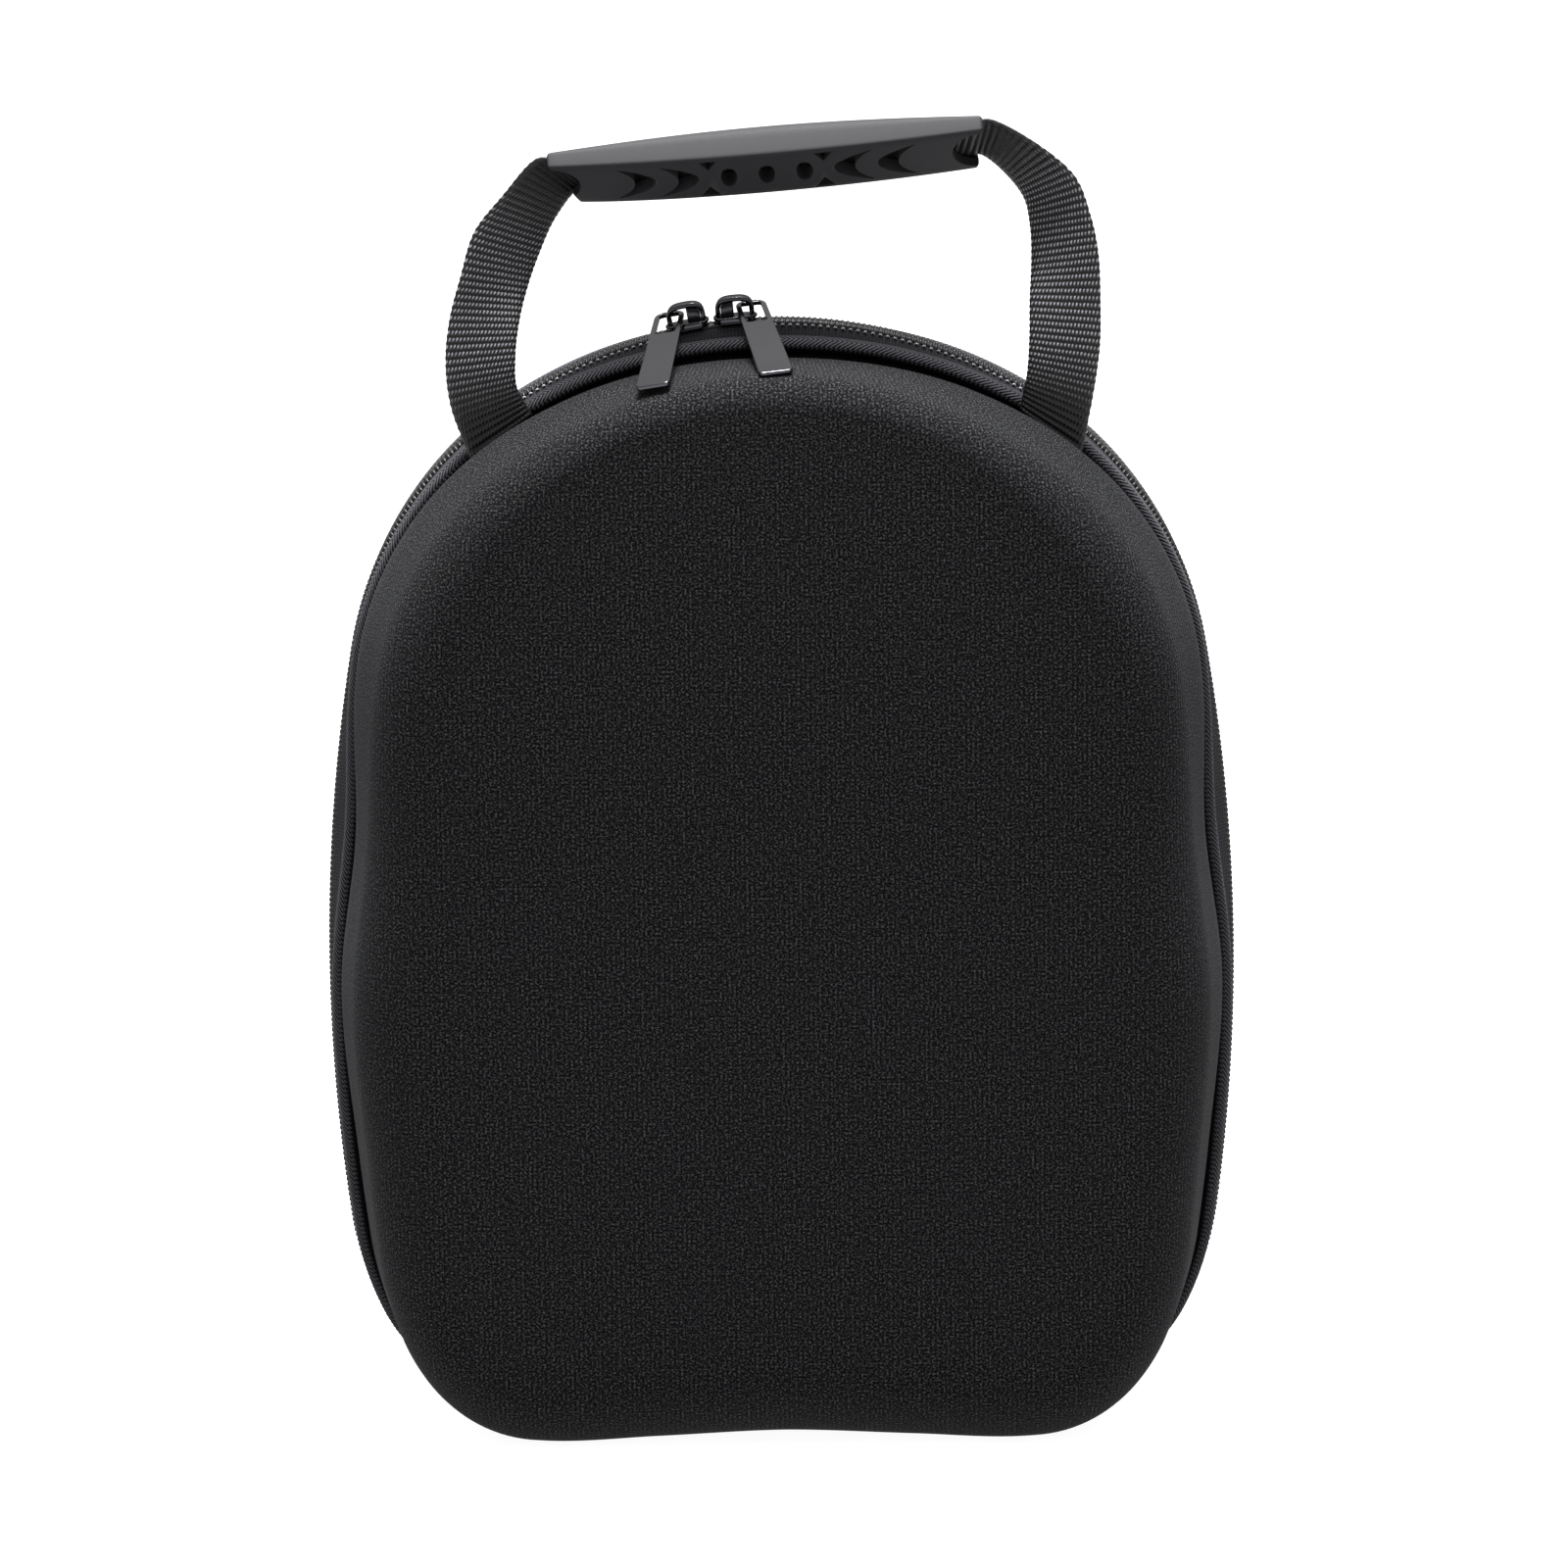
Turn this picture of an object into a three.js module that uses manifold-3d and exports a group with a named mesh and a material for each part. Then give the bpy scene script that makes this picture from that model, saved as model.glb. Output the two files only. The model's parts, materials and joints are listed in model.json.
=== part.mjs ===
// Cap carrier: two moulded EVA half shells closed by a zip, with a webbing handle in a rubber grip.
// Millimetres, Z up, X to the right, the front faces -Y; the case stands on the bottoms of its shells.
import * as THREE from 'three';
import { mergeVertices } from 'three/addons/utils/BufferGeometryUtils.js';
import Module from 'manifold-3d';

const wasm = await Module();
wasm.setup();

// Outline of the zip line, a chain of tangent arcs from the middle of the top to the foot.
const outlineArcs = [
  { part: 'crown', radius: 126, sweep: 33, steps: 4 },
  { part: 'shoulder', radius: 101, sweep: 47, steps: 5 },
  { part: 'side', radius: 523, sweep: 17.3, steps: 10 },
  { part: 'hip', radius: 80, sweep: 18.8, steps: 2 },
  { part: 'corner', radius: 44, sweep: 67.1, steps: 6 },
];
const footTurn = 3.2;             // degrees by which the bottom rises again towards its middle
const footSteps = 3;

// How each half shell lies inside the outline, by distance along it from the middle of the top.
// seam: inset under the binding; belly: inset of the wall; edge: radius of the front edge, and rear of the
// back one; draft: degrees by which the wall leans in towards the face.
const sections = [
  { along: 0, seam: 7, belly: 7, edge: 9, rear: 16, draft: 0 },
  { along: 55, seam: 5.6, belly: 4.4, edge: 10, rear: 18, draft: 11 },
  { along: 110, seam: 4.9, belly: 2.2, edge: 17, rear: 20, draft: 18 },
  { along: 158, seam: 5.1, belly: 2.9, edge: 18, rear: 20, draft: 18 },
  { along: 201, seam: 8, belly: 7.3, edge: 20, rear: 20, draft: 12 },
  { along: 243, seam: 5.6, belly: 4.5, edge: 20, rear: 20, draft: 12 },
  { along: 290, seam: 5.8, belly: 6.3, edge: 20, rear: 20, draft: 10 },
  { along: 345, seam: 5.8, belly: 5.6, edge: 20, rear: 20, draft: 7 },
  { along: 395, seam: 5.8, belly: -1, edge: 21, rear: 21, draft: 0 },
  { along: 425, seam: 5.8, belly: -1.5, edge: 22, rear: 22, draft: 0 },
  { along: 460, seam: 5.8, belly: -0.6, edge: 22, rear: 22, draft: 0 },
];
// Depth of each face: base at the ground, less by lean for each millimetre of height, and bulged at its centre.
const face = { base: 61.2, lean: 0.051, bulge: 2, centre: 140 };
const wall = 4;                   // EVA with its fabric
const partingEdge = 4;            // depth where each shell ends at the zip
const grooveDepth = 14.5;         // depth where the wall comes out from under the binding
const bellyDepth = 22;            // depth where the wall has swelled to its full width
const seamGap = 0.3;              // between pieces that are sewn or pressed together

// Rim: rolled binding, zip tape and coil.
const binding = { middle: 11, halfWidth: 3.3, halfHeight: 1.9, sides: 8 };
const coil = { halfWidth: 2.9, height: 2.2, bevel: 0.8 };
const tape = { inner: 3.3, outer: 7.4, top: 1.3, thickness: 0.8 };
const zipEnd = 345;               // the zip runs this far down each side
const hinge = { halfWidth: 7.3, top: 2.3, thickness: 1.2, steps: 7 };

// Sliders and pulls, in the frame of the zip where each slider stands (along, depth, outward).
const slider = {
  length: 11.6, halfWidth: 4, tailHalfWidth: 2.6, plate: 0.8, skirt: 0.9, skirtDrop: 0.8, noseRadius: 3.6,
};
const bridge = { halfSpan: 5.1, thickness: 1.3, halfWidth: 1.5, foot: 0.8, spring: 2.4, top: 6.2, squareness: 3 };
const pull = {
  width: 8, tipWidth: 9, length: 45, thickness: 1.2, arm: 1.4, bar: 1.4, window: 12,
  pivotBack: 2.65, pivotUp: 3.3, splay: 7.7, corner: 1.2, headCorner: 2.8,
};
const sliderPlaces = [
  { side: 'left', along: -22.9, hook: -1, droop: 11.7 },
  { side: 'right', along: -10.3, hook: 1, droop: 13.1 },
];

// Handle: edges of the strap from each root to the grip (outer edge, then inner edge).
const strap = { width: 18.6, thickness: 1.7, rootInset: 4.3, rootDepth: 15.55, rootInner: 69, rootOuter: 90 };
const leftRise = [
  { ox: -84.5, oy: -15.6, oz: 274.7, ix: -67.2, iy: -15.6, iz: 279.5 },
  { ox: -85.6, oy: -16, oz: 286.9, ix: -67.5, iy: -15, iz: 288 },
  { ox: -84.3, oy: -15.5, oz: 297.9, ix: -66.4, iy: -13, iz: 296.6 },
  { ox: -81.3, oy: -15.5, oz: 308.7, ix: -64.3, iy: -9.2, iz: 304.7 },
  { ox: -77.4, oy: -15, oz: 320.6, ix: -60.9, iy: -6.2, iz: 313.8 },
  { ox: -70, oy: -14.4, oz: 329.8, ix: -56.8, iy: -2.4, iz: 322 },
];
const rightRise = [
  { ox: 82.6, oy: -15.6, oz: 276.6, ix: 65.3, iy: -15.6, iz: 281.4 },
  { ox: 84.2, oy: -16, oz: 288.7, ix: 66, iy: -15, iz: 290.6 },
  { ox: 84.4, oy: -15.5, oz: 300.5, ix: 66.2, iy: -13, iz: 300.7 },
  { ox: 83.8, oy: -15.5, oz: 313.4, ix: 66.8, iy: -9.2, iz: 310.1 },
  { ox: 81.8, oy: -15, oz: 323.2, ix: 66.6, iy: -6, iz: 319 },
  { ox: 77, oy: -14.4, oz: 334.4, ix: 64.6, iy: -2, iz: 326.8 },
];
const grip = {
  halfLength: 56.8, x: -2, y: -6.5, z: 338.2, tilt: 4.4, lean: 37.4, steps: 12,
  halfWidth: 11, endHalfWidth: 10.7, under: 5.5, endUnder: 3.6, over: 5.6, endOver: 2.2,
  bevel: 1, tunnelGap: 0.4, leftSlant: 8, rightSlant: 2,
};
const gripHoles = { count: 3, pitch: 9.8, halfLength: 2.2, halfWidth: 5, sides: 16 };
const gripMoons = { places: [22.2, 33.5], reach: 8, bulge: 9.5, hollow: 4.6, horn: 0.6, sides: 8 };
const gripCrosses = { place: 14.9, halfBase: 2.4, outer: 9.2, inner: 4.6 };
const gripNotch = { depth: 8.5, halfWidth: 9, round: 7.5, sides: 8 };
const strapInGrip = [
  { outer: -58.8, inner: -49.3 },
  { outer: -54.8, inner: -45.3 },
  { outer: -28, inner: -25 },
  { outer: 28, inner: 27 },
  { outer: 54.8, inner: 51.8 },
  { outer: 58.8, inner: 55.8 },
];

const colours = {
  shell: { color: 0x1c1c1e, roughness: 0.9, metalness: 0 },
  binding: { color: 0x222224, roughness: 0.9, metalness: 0 },
  zip: { color: 0x161617, roughness: 0.6, metalness: 0 },
  metal: { color: 0x4c4c50, roughness: 0.35, metalness: 1 },
  webbing: { color: 0x26262a, roughness: 0.9, metalness: 0 },
  rubber: { color: 0x303033, roughness: 0.6, metalness: 0 },
};

const degree = Math.PI / 180;

// The outline's arcs with where each starts; heading is clockwise from +X as seen from the front.
function layOutline() {
  const arcs = [];
  let x = 0;
  let z = 0;
  let heading = 0;
  let along = 0;
  for (const row of outlineArcs) {
    const sweep = row.sweep * degree;
    arcs.push({ x, z, heading, along, radius: row.radius, length: row.radius * sweep, steps: row.steps });
    x += row.radius * (Math.sin(heading + sweep) - Math.sin(heading));
    z -= row.radius * (Math.cos(heading) - Math.cos(heading + sweep));
    heading += sweep;
    along += row.radius * sweep;
  }
  const footRadius = -x / Math.sin(footTurn * degree);
  const length = -footRadius * footTurn * degree;
  arcs.push({ x, z, heading, along, radius: footRadius, length, steps: footSteps });
  const lowest = Math.min(...arcs.map((arc) => lowestOf(arc)));
  for (const arc of arcs) {
    arc.z -= lowest;
  }
  return { arcs, half: along + length };
}

// Lowest height that an arc reaches: where it heads straight back, or at its start.
function lowestOf(arc) {
  const turn = Math.PI - arc.heading;
  const inside = arc.radius > 0 && turn > 0 && turn * arc.radius < arc.length;
  return inside ? arc.z - arc.radius * (Math.cos(arc.heading) + 1) : arc.z;
}

const outline = layOutline();

// Point of the outline at a signed distance from the middle of the top, with its outward direction.
function outlineAt(along) {
  const side = along < 0 ? -1 : 1;
  const reach = Math.min(Math.abs(along), outline.half);
  let arc = outline.arcs[0];
  for (const next of outline.arcs) {
    if (reach >= next.along) {
      arc = next;
    }
  }
  const heading = arc.heading + (reach - arc.along) / arc.radius;
  return {
    x: side * (arc.x + arc.radius * (Math.sin(heading) - Math.sin(arc.heading))),
    z: arc.z - arc.radius * (Math.cos(arc.heading) - Math.cos(heading)),
    outX: side * Math.sin(heading),
    outZ: Math.cos(heading),
    heading: side * heading,
  };
}

// Signed distances at which the outline is sampled, once round from the middle of the bottom.
function outlineStations() {
  const right = [];
  for (const arc of outline.arcs) {
    for (let i = 0; i < arc.steps; i += 1) {
      right.push(arc.along + (arc.length * i) / arc.steps);
    }
  }
  const left = right.slice(1).map((along) => -along);
  left.reverse();
  return [-outline.half, ...left, ...right];
}

// Smooth curve through a table's column, level at its first and last row.
function tableAt(table, column, along) {
  const at = Math.abs(along);
  let i = 0;
  while (i < table.length - 2 && at > table[i + 1].along) {
    i += 1;
  }
  const slope = (k) => {
    if (k <= 0 || k >= table.length - 1) {
      return 0;
    }
    return (table[k + 1][column] - table[k - 1][column]) / (table[k + 1].along - table[k - 1].along);
  };
  const span = table[i + 1].along - table[i].along;
  const t = Math.min(1, Math.max(0, (at - table[i].along) / span));
  const a = 2 * t ** 3 - 3 * t ** 2 + 1;
  const b = t ** 3 - 2 * t ** 2 + t;
  const c = t ** 3 - t ** 2;
  return a * table[i][column] + b * span * slope(i) + (1 - a) * table[i + 1][column] + c * span * slope(i + 1);
}

// Point at an inset and depth (front is negative Y) from the outline.
function rimPoint(along, inset, y) {
  const p = outlineAt(along);
  return new THREE.Vector3(p.x - p.outX * inset, y, p.z - p.outZ * inset);
}

// Closed surface over rings of equal count; the ends close on points, or the last ring joins the first.
function skin(rings, { first = null, last = null, loop = false } = {}) {
  const count = rings[0].length;
  const points = rings.flat();
  const index = [];
  const bands = loop ? rings.length : rings.length - 1;
  for (let r = 0; r < bands; r += 1) {
    const low = r * count;
    const high = ((r + 1) % rings.length) * count;
    for (let i = 0; i < count; i += 1) {
      const j = (i + 1) % count;
      index.push(low + i, low + j, high + j, low + i, high + j, high + i);
    }
  }
  for (const [end, ring, turn] of [[first, 0, 1], [last, rings.length - 1, -1]]) {
    if (end) {
      points.push(end);
      for (let i = 0; i < count; i += 1) {
        const j = (i + 1) % count;
        const a = ring * count + (turn > 0 ? j : i);
        const b = ring * count + (turn > 0 ? i : j);
        index.push(a, b, points.length - 1);
      }
    }
  }
  return outward(points, index);
}

// Geometry from points and triangles, turned to face out of the volume that they close.
function outward(points, index) {
  let volume = 0;
  for (let i = 0; i < index.length; i += 3) {
    const [a, b, c] = [points[index[i]], points[index[i + 1]], points[index[i + 2]]];
    volume += a.dot(b.clone().cross(c));
  }
  const faces = volume > 0 ? index : index.slice().reverse();
  const geometry = new THREE.BufferGeometry();
  geometry.setAttribute('position', new THREE.Float32BufferAttribute(points.flatMap((p) => p.toArray()), 3));
  geometry.setIndex(faces);
  return geometry;
}

function middleOf(ring) {
  const sum = ring.reduce((total, p) => total.add(p), new THREE.Vector3());
  return sum.divideScalar(ring.length);
}

// Depth of a face at a height, without its bulge.
function faceDepth(z) {
  return face.base - face.lean * z;
}

// One side of a shell's wall as rings of points from its parting edge to the middle of its face.
function shellRings(stations, inward, filletSteps, faceRings, edge) {
  const rings = [];
  const at = (s, column) => tableAt(sections, column, s);
  const place = (s, inset, depth) => {
    const p = rimPoint(s, inset + inward, -depth);
    p.z = Math.max(p.z, inward);
    return p;
  };
  rings.push(stations.map((s) => place(s, at(s, 'seam'), partingEdge)));
  rings.push(stations.map((s) => place(s, at(s, 'seam'), grooveDepth)));
  const half = (grooveDepth + bellyDepth) / 2;
  rings.push(stations.map((s) => place(s, (at(s, 'seam') + at(s, 'belly')) / 2, half)));
  rings.push(stations.map((s) => place(s, at(s, 'belly'), bellyDepth)));
  const boundary = stations.map((s) => {
    const radius = at(s, edge) - inward;
    const rim = rimPoint(s, at(s, 'belly') + at(s, edge), 0);
    const depth = faceDepth(rim.z) - inward;
    const reach = Math.hypot(rim.x, rim.z - face.centre);
    const slope = Math.atan((3 * face.bulge) / reach + face.lean * outlineAt(s).outZ);
    const draft = (Math.PI / 180) * at(s, 'draft');
    const full = radius + inward;
    const run = depth + inward - full * (1 - Math.sin(draft)) - bellyDepth;
    const centre = at(s, 'belly') + run * Math.tan(draft) + full * Math.cos(draft) - inward;
    return { radius, depth, draft, centre, turn: Math.PI / 2 - slope };
  });
  for (let k = 0; k <= filletSteps; k += 1) {
    rings.push(stations.map((s, i) => {
      const { radius, depth, draft, centre, turn } = boundary[i];
      const angle = draft + ((turn - draft) * k) / filletSteps;
      return place(s, centre - radius * Math.cos(angle), depth - radius * (1 - Math.sin(angle)));
    }));
  }
  const rim = rings[rings.length - 1];
  for (let k = 1; k <= faceRings; k += 1) {
    const share = 1 - k / (faceRings + 1);
    rings.push(rim.map((p) => {
      const z = face.centre + (p.z - face.centre) * share;
      const swell = face.bulge * (1 - share ** 3);
      const rest = (-p.y - faceDepth(p.z) + inward) * share ** 3;
      return new THREE.Vector3(p.x * share, -(faceDepth(z) - inward + swell + rest), z);
    }));
  }
  return { rings, centre: new THREE.Vector3(0, inward - faceDepth(face.centre) - face.bulge, face.centre) };
}

// Hollow half shell: the inside from its middle out to the parting edge, then the outside back again.
function shellGeometry(edge) {
  const stations = outlineStations();
  const outside = shellRings(stations, 0, 4, 2, edge);
  const inside = shellRings(stations, wall, 3, 1, edge);
  const rings = [...inside.rings.reverse(), ...outside.rings];
  return skin(rings, { first: inside.centre, last: outside.centre });
}

// Strip of a constant section carried along the rim; section(s) gives its corners as inset and depth.
function rimStrip(stations, section, loop) {
  const rings = stations.map((s) => section(s).map(([inset, y]) => rimPoint(s, inset, y)));
  if (loop) {
    return skin(rings, { loop: true });
  }
  return skin(rings, { first: middleOf(rings[0]), last: middleOf(rings[rings.length - 1]) });
}

// Stations between two distances, at the outline's own stations and at both ends.
function stationsBetween(from, to) {
  const between = outlineStations().filter((s) => s > from + 1 && s < to - 1);
  return [from, ...between, to];
}

function bindingSection(s, side) {
  const middle = tableAt(sections, 'seam', s) - seamGap - binding.halfHeight;
  return Array.from({ length: binding.sides }, (_, i) => {
    const angle = ((i + 0.5) / binding.sides) * 2 * Math.PI;
    const swell = 1 / Math.cos(Math.PI / binding.sides);
    const inset = middle + binding.halfHeight * swell * Math.sin(angle);
    return [inset, side * (binding.middle + binding.halfWidth * Math.cos(angle))];
  });
}

function tapeSection(s, side) {
  const low = tableAt(sections, 'seam', s) - 2.4;
  return [
    [tape.top, side * tape.inner],
    [low, side * tape.outer],
    [low + tape.thickness, side * tape.outer],
    [tape.top + tape.thickness, side * tape.inner],
  ];
}

function coilSection() {
  const { halfWidth, height, bevel } = coil;
  return [
    [0, bevel - halfWidth], [0, halfWidth - bevel],
    [bevel, halfWidth], [height, halfWidth],
    [height, -halfWidth], [bevel, -halfWidth],
  ];
}

// The hinge runs round the foot from one end of the zip to the other.
function hingeGeometry() {
  const start = zipEnd + 2 * seamGap;
  const half = Array.from({ length: hinge.steps }, (_, i) => start + ((outline.half - start) * i) / hinge.steps);
  const stations = [...half, outline.half, ...half.slice().reverse().map((s) => -s)];
  const { halfWidth, top, thickness } = hinge;
  const corners = [[top, -halfWidth], [top, halfWidth], [top + thickness, halfWidth], [top + thickness, -halfWidth]];
  return rimStrip(stations, () => corners, false);
}

// Solid for joining and cutting, from any closed geometry.
function solid(geometry) {
  const plain = new THREE.BufferGeometry();
  plain.setAttribute('position', geometry.getAttribute('position'));
  if (geometry.index) {
    plain.setIndex(geometry.index);
  }
  const merged = mergeVertices(plain, 1e-4);
  return new wasm.Manifold(new wasm.Mesh({
    numProp: 3,
    vertProperties: Float32Array.from(merged.getAttribute('position').array),
    triVerts: Uint32Array.from(merged.index.array),
  }));
}

function fromSolid(body) {
  const mesh = body.getMesh();
  const geometry = new THREE.BufferGeometry();
  geometry.setAttribute('position', new THREE.BufferAttribute(Float32Array.from(mesh.vertProperties), 3));
  geometry.setIndex(Array.from(mesh.triVerts));
  return geometry;
}

// Prism of an outline given in two axes, between two values on the third.
function prism(corners, from, to, [first, second, third]) {
  const shape = new THREE.Shape(corners.map(([a, b]) => new THREE.Vector2(a, b)));
  const geometry = new THREE.ExtrudeGeometry(shape, { depth: to - from, bevelEnabled: false });
  geometry.translate(0, 0, from);
  geometry.applyMatrix4(new THREE.Matrix4().makeBasis(first, second, third));
  return geometry;
}

const axisX = new THREE.Vector3(1, 0, 0);
const axisY = new THREE.Vector3(0, 1, 0);
const axisZ = new THREE.Vector3(0, 0, 1);

// Frame of the zip at a distance along it: X along the zip, Y back, Z outward.
function zipFrame(along) {
  const p = outlineAt(along);
  const tangent = new THREE.Vector3(p.outZ, 0, -p.outX);
  const out = new THREE.Vector3(p.outX, 0, p.outZ);
  return new THREE.Matrix4().makeBasis(tangent, axisY, out).setPosition(p.x, 0, p.z);
}

// Slider body: a plate with skirts over the coil, rounded at the nose where the sliders meet.
function sliderGeometry(hook) {
  const { length, halfWidth, tailHalfWidth, plate, skirt, skirtDrop, noseRadius } = slider;
  const top = seamGap + plate;
  const channel = [
    [-halfWidth, -skirtDrop], [skirt - halfWidth, -skirtDrop], [skirt - halfWidth, seamGap],
    [halfWidth - skirt, seamGap], [halfWidth - skirt, -skirtDrop], [halfWidth, -skirtDrop],
    [halfWidth, top], [-halfWidth, top],
  ];
  const body = solid(prism(channel, -length / 2, length / 2, [axisY, axisZ, axisX]));
  const nose = -hook * (length / 2);
  const plan = [];
  for (let i = 0; i <= 8; i += 1) {
    const angle = (-90 + (180 * i) / 8) * degree;
    plan.push([nose + hook * noseRadius * (1 - Math.cos(angle)), halfWidth * Math.sin(angle)]);
  }
  plan.push([-nose, tailHalfWidth], [-nose, -tailHalfWidth]);
  const shaped = plan.map(([a, b]) => [a, b]);
  const cut = solid(prism(hook > 0 ? shaped.reverse() : shaped, -5, 5, [axisX, axisY, axisZ]));
  return fromSolid(body.intersect(cut).add(solid(bridgeGeometry())));
}

// Bridge: a band that springs from the plate and arches along the zip.
function bridgeGeometry() {
  const { halfSpan, thickness, halfWidth, foot, spring, top, squareness } = bridge;
  const arch = (inset) => Array.from({ length: 13 }, (_, i) => {
    const angle = Math.PI * (1 - i / 12);
    const bend = (v) => Math.sign(v) * Math.abs(v) ** (2 / squareness);
    return [(halfSpan - inset) * bend(Math.cos(angle)), spring + (top - inset - spring) * bend(Math.sin(angle))];
  });
  const outer = [[-halfSpan, foot], ...arch(0), [halfSpan, foot]];
  const inner = [[thickness - halfSpan, foot], ...arch(thickness), [halfSpan - thickness, foot]];
  return prism([...outer, ...inner.reverse()], -halfWidth, halfWidth, [axisX, axisZ, axisY.clone().negate()]);
}

// Pull lying in its own plane: X across it, Y towards its tip, the pivot at the origin.
function pullGeometry() {
  const { width, tipWidth, length, thickness, arm, bar, window, corner, headCorner } = pull;
  const cut = headCorner * (1 - Math.SQRT1_2);
  const half = width / 2;
  const tip = tipWidth / 2;
  const back = -bar / 2;
  const end = length;
  const plate = [
    [headCorner - half, back], [half - headCorner, back], [half - cut, back + cut], [half, back + headCorner],
    [tip, end - corner], [tip - corner, end], [corner - tip, end], [-tip, end - corner],
    [-half, back + headCorner], [cut - half, back + cut],
  ];
  const hole = half - arm;
  const opening = [[-hole, bar / 2], [hole, bar / 2], [hole, bar / 2 + window], [-hole, bar / 2 + window]];
  const body = solid(prism(plate, -thickness / 2, thickness / 2, [axisX, axisY, axisZ]));
  return fromSolid(body.subtract(solid(prism(opening, -thickness, thickness, [axisX, axisY, axisZ]))));
}

// Where a pull hangs: its bar behind one leg of the bridge, splayed aside and drooping to the front.
function pullFrame({ along, hook, droop }) {
  const leg = hook * (bridge.halfSpan - bridge.thickness / 2);
  const turn = new THREE.Matrix4().makeRotationZ(hook * pull.splay * degree);
  const place = new THREE.Matrix4().makeTranslation(leg, 0, 0);
  const pivot = new THREE.Matrix4().makeTranslation(0, pull.pivotBack, pull.pivotUp);
  const fall = new THREE.Matrix4().makeRotationX(droop * degree);
  const forward = new THREE.Matrix4().makeRotationZ(Math.PI);
  return zipFrame(along).multiply(place).multiply(turn).multiply(pivot).multiply(fall).multiply(forward);
}

// Frame of the grip: X along it, Y across it to the front, Z out of its smooth side.
function gripFrame() {
  const tilt = new THREE.Matrix4().makeRotationY(-grip.tilt * degree);
  const lean = new THREE.Matrix4().makeRotationX(-grip.lean * degree);
  const place = new THREE.Matrix4().makeTranslation(grip.x, grip.y, grip.z);
  return place.multiply(tilt).multiply(lean);
}

// The grip swells from its ends to its middle; the side towards the fingers is flat.
function gripRing(x) {
  const swell = 1 - (x / grip.halfLength) ** 2;
  const half = grip.endHalfWidth + (grip.halfWidth - grip.endHalfWidth) * swell;
  const under = grip.endUnder + (grip.under - grip.endUnder) * swell;
  const over = grip.endOver + (grip.over - grip.endOver) * swell;
  const corners = [
    [grip.bevel - half, -under], [half - grip.bevel, -under], [half, grip.bevel - under],
    [half, 0.3 * over], [0.74 * half, 0.8 * over], [0.3 * half, over],
    [-0.3 * half, over], [-0.74 * half, 0.8 * over], [-half, 0.3 * over], [-half, grip.bevel - under],
  ];
  return corners.map(([across, out]) => new THREE.Vector3(x, across, out));
}

// Outlines of the openings in the flat side, in the grip's own plane.
function gripOpenings() {
  const { count, pitch, halfLength, halfWidth, sides } = gripHoles;
  const openings = [];
  for (let k = 0; k < count; k += 1) {
    const x = (k - (count - 1) / 2) * pitch;
    openings.push(Array.from({ length: sides }, (_, i) => {
      const angle = (2 * Math.PI * i) / sides;
      return [x + halfLength * Math.cos(angle), halfWidth * Math.sin(angle)];
    }));
  }
  for (const side of [-1, 1]) {
    for (const place of gripMoons.places) {
      openings.push(moon(side, place));
    }
    const x = side * gripCrosses.place;
    for (const edge of [-1, 1]) {
      const base = gripCrosses.halfBase;
      openings.push([
        [x - base, edge * gripCrosses.outer], [x + base, edge * gripCrosses.outer], [x, edge * gripCrosses.inner],
      ]);
    }
    openings.push(notch(side));
  }
  return openings;
}

// The ends are cut aslant, so that the edge away from the front is the shorter one.
function endCut(side, slant) {
  const end = side * grip.halfLength;
  const half = grip.halfWidth + 1;
  return [[end, -half], [end + side * 5, -half], [end + side * 5, half], [end - side * slant, half]];
}

// Crescent whose round side faces the middle of the grip.
function moon(side, place) {
  const { reach, bulge, hollow, horn, sides } = gripMoons;
  const round = [];
  const inner = [];
  for (let i = 0; i <= sides; i += 1) {
    const across = reach * ((2 * i) / sides - 1);
    const rise = 1 - (across / reach) ** 2;
    round.push([side * (place - bulge * rise + bulge / 2), across]);
    inner.push([side * (place - hollow * rise + bulge / 2 + horn), across]);
  }
  return [...round, ...inner.reverse()];
}

// Mouth cut in from an end, where the strap shows.
function notch(side) {
  const { depth, halfWidth, round, sides } = gripNotch;
  const end = grip.halfLength;
  const corners = [[side * (end + 2), -halfWidth]];
  for (let i = 0; i <= sides; i += 1) {
    const angle = (-90 + (180 * i) / sides) * degree;
    corners.push([side * (end - depth + round - round * Math.cos(angle)), halfWidth * Math.sin(angle)]);
  }
  corners.push([side * (end + 2), halfWidth]);
  return corners;
}

function counterclockwise(corners) {
  const clockwise = THREE.ShapeUtils.isClockWise(corners.map(([x, y]) => new THREE.Vector2(x, y)));
  return clockwise ? corners.slice().reverse() : corners;
}

function gripGeometry() {
  const { halfLength, steps, tunnelGap } = grip;
  const rings = Array.from({ length: steps + 1 }, (_, i) => gripRing(halfLength * ((2 * i) / steps - 1)));
  const ends = { first: middleOf(rings[0]), last: middleOf(rings[steps]) };
  const wide = strap.width / 2 + tunnelGap;
  const high = strap.thickness / 2 + tunnelGap;
  const slot = [[-wide, -high], [wide, -high], [wide, high], [-wide, high]];
  let body = solid(skin(rings, ends));
  body = body.subtract(solid(prism(slot, -halfLength - 5, halfLength + 5, [axisY, axisZ, axisX])));
  for (const corners of gripOpenings()) {
    body = body.subtract(solid(prism(counterclockwise(corners), -10, 0, [axisX, axisY, axisZ])));
  }
  for (const [side, slant] of [[-1, grip.leftSlant], [1, grip.rightSlant]]) {
    const corners = counterclockwise(endCut(side, slant));
    body = body.subtract(solid(prism(corners, -10, 10, [axisX, axisY, axisZ])));
  }
  return fromSolid(body).applyMatrix4(gripFrame());
}

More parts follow.
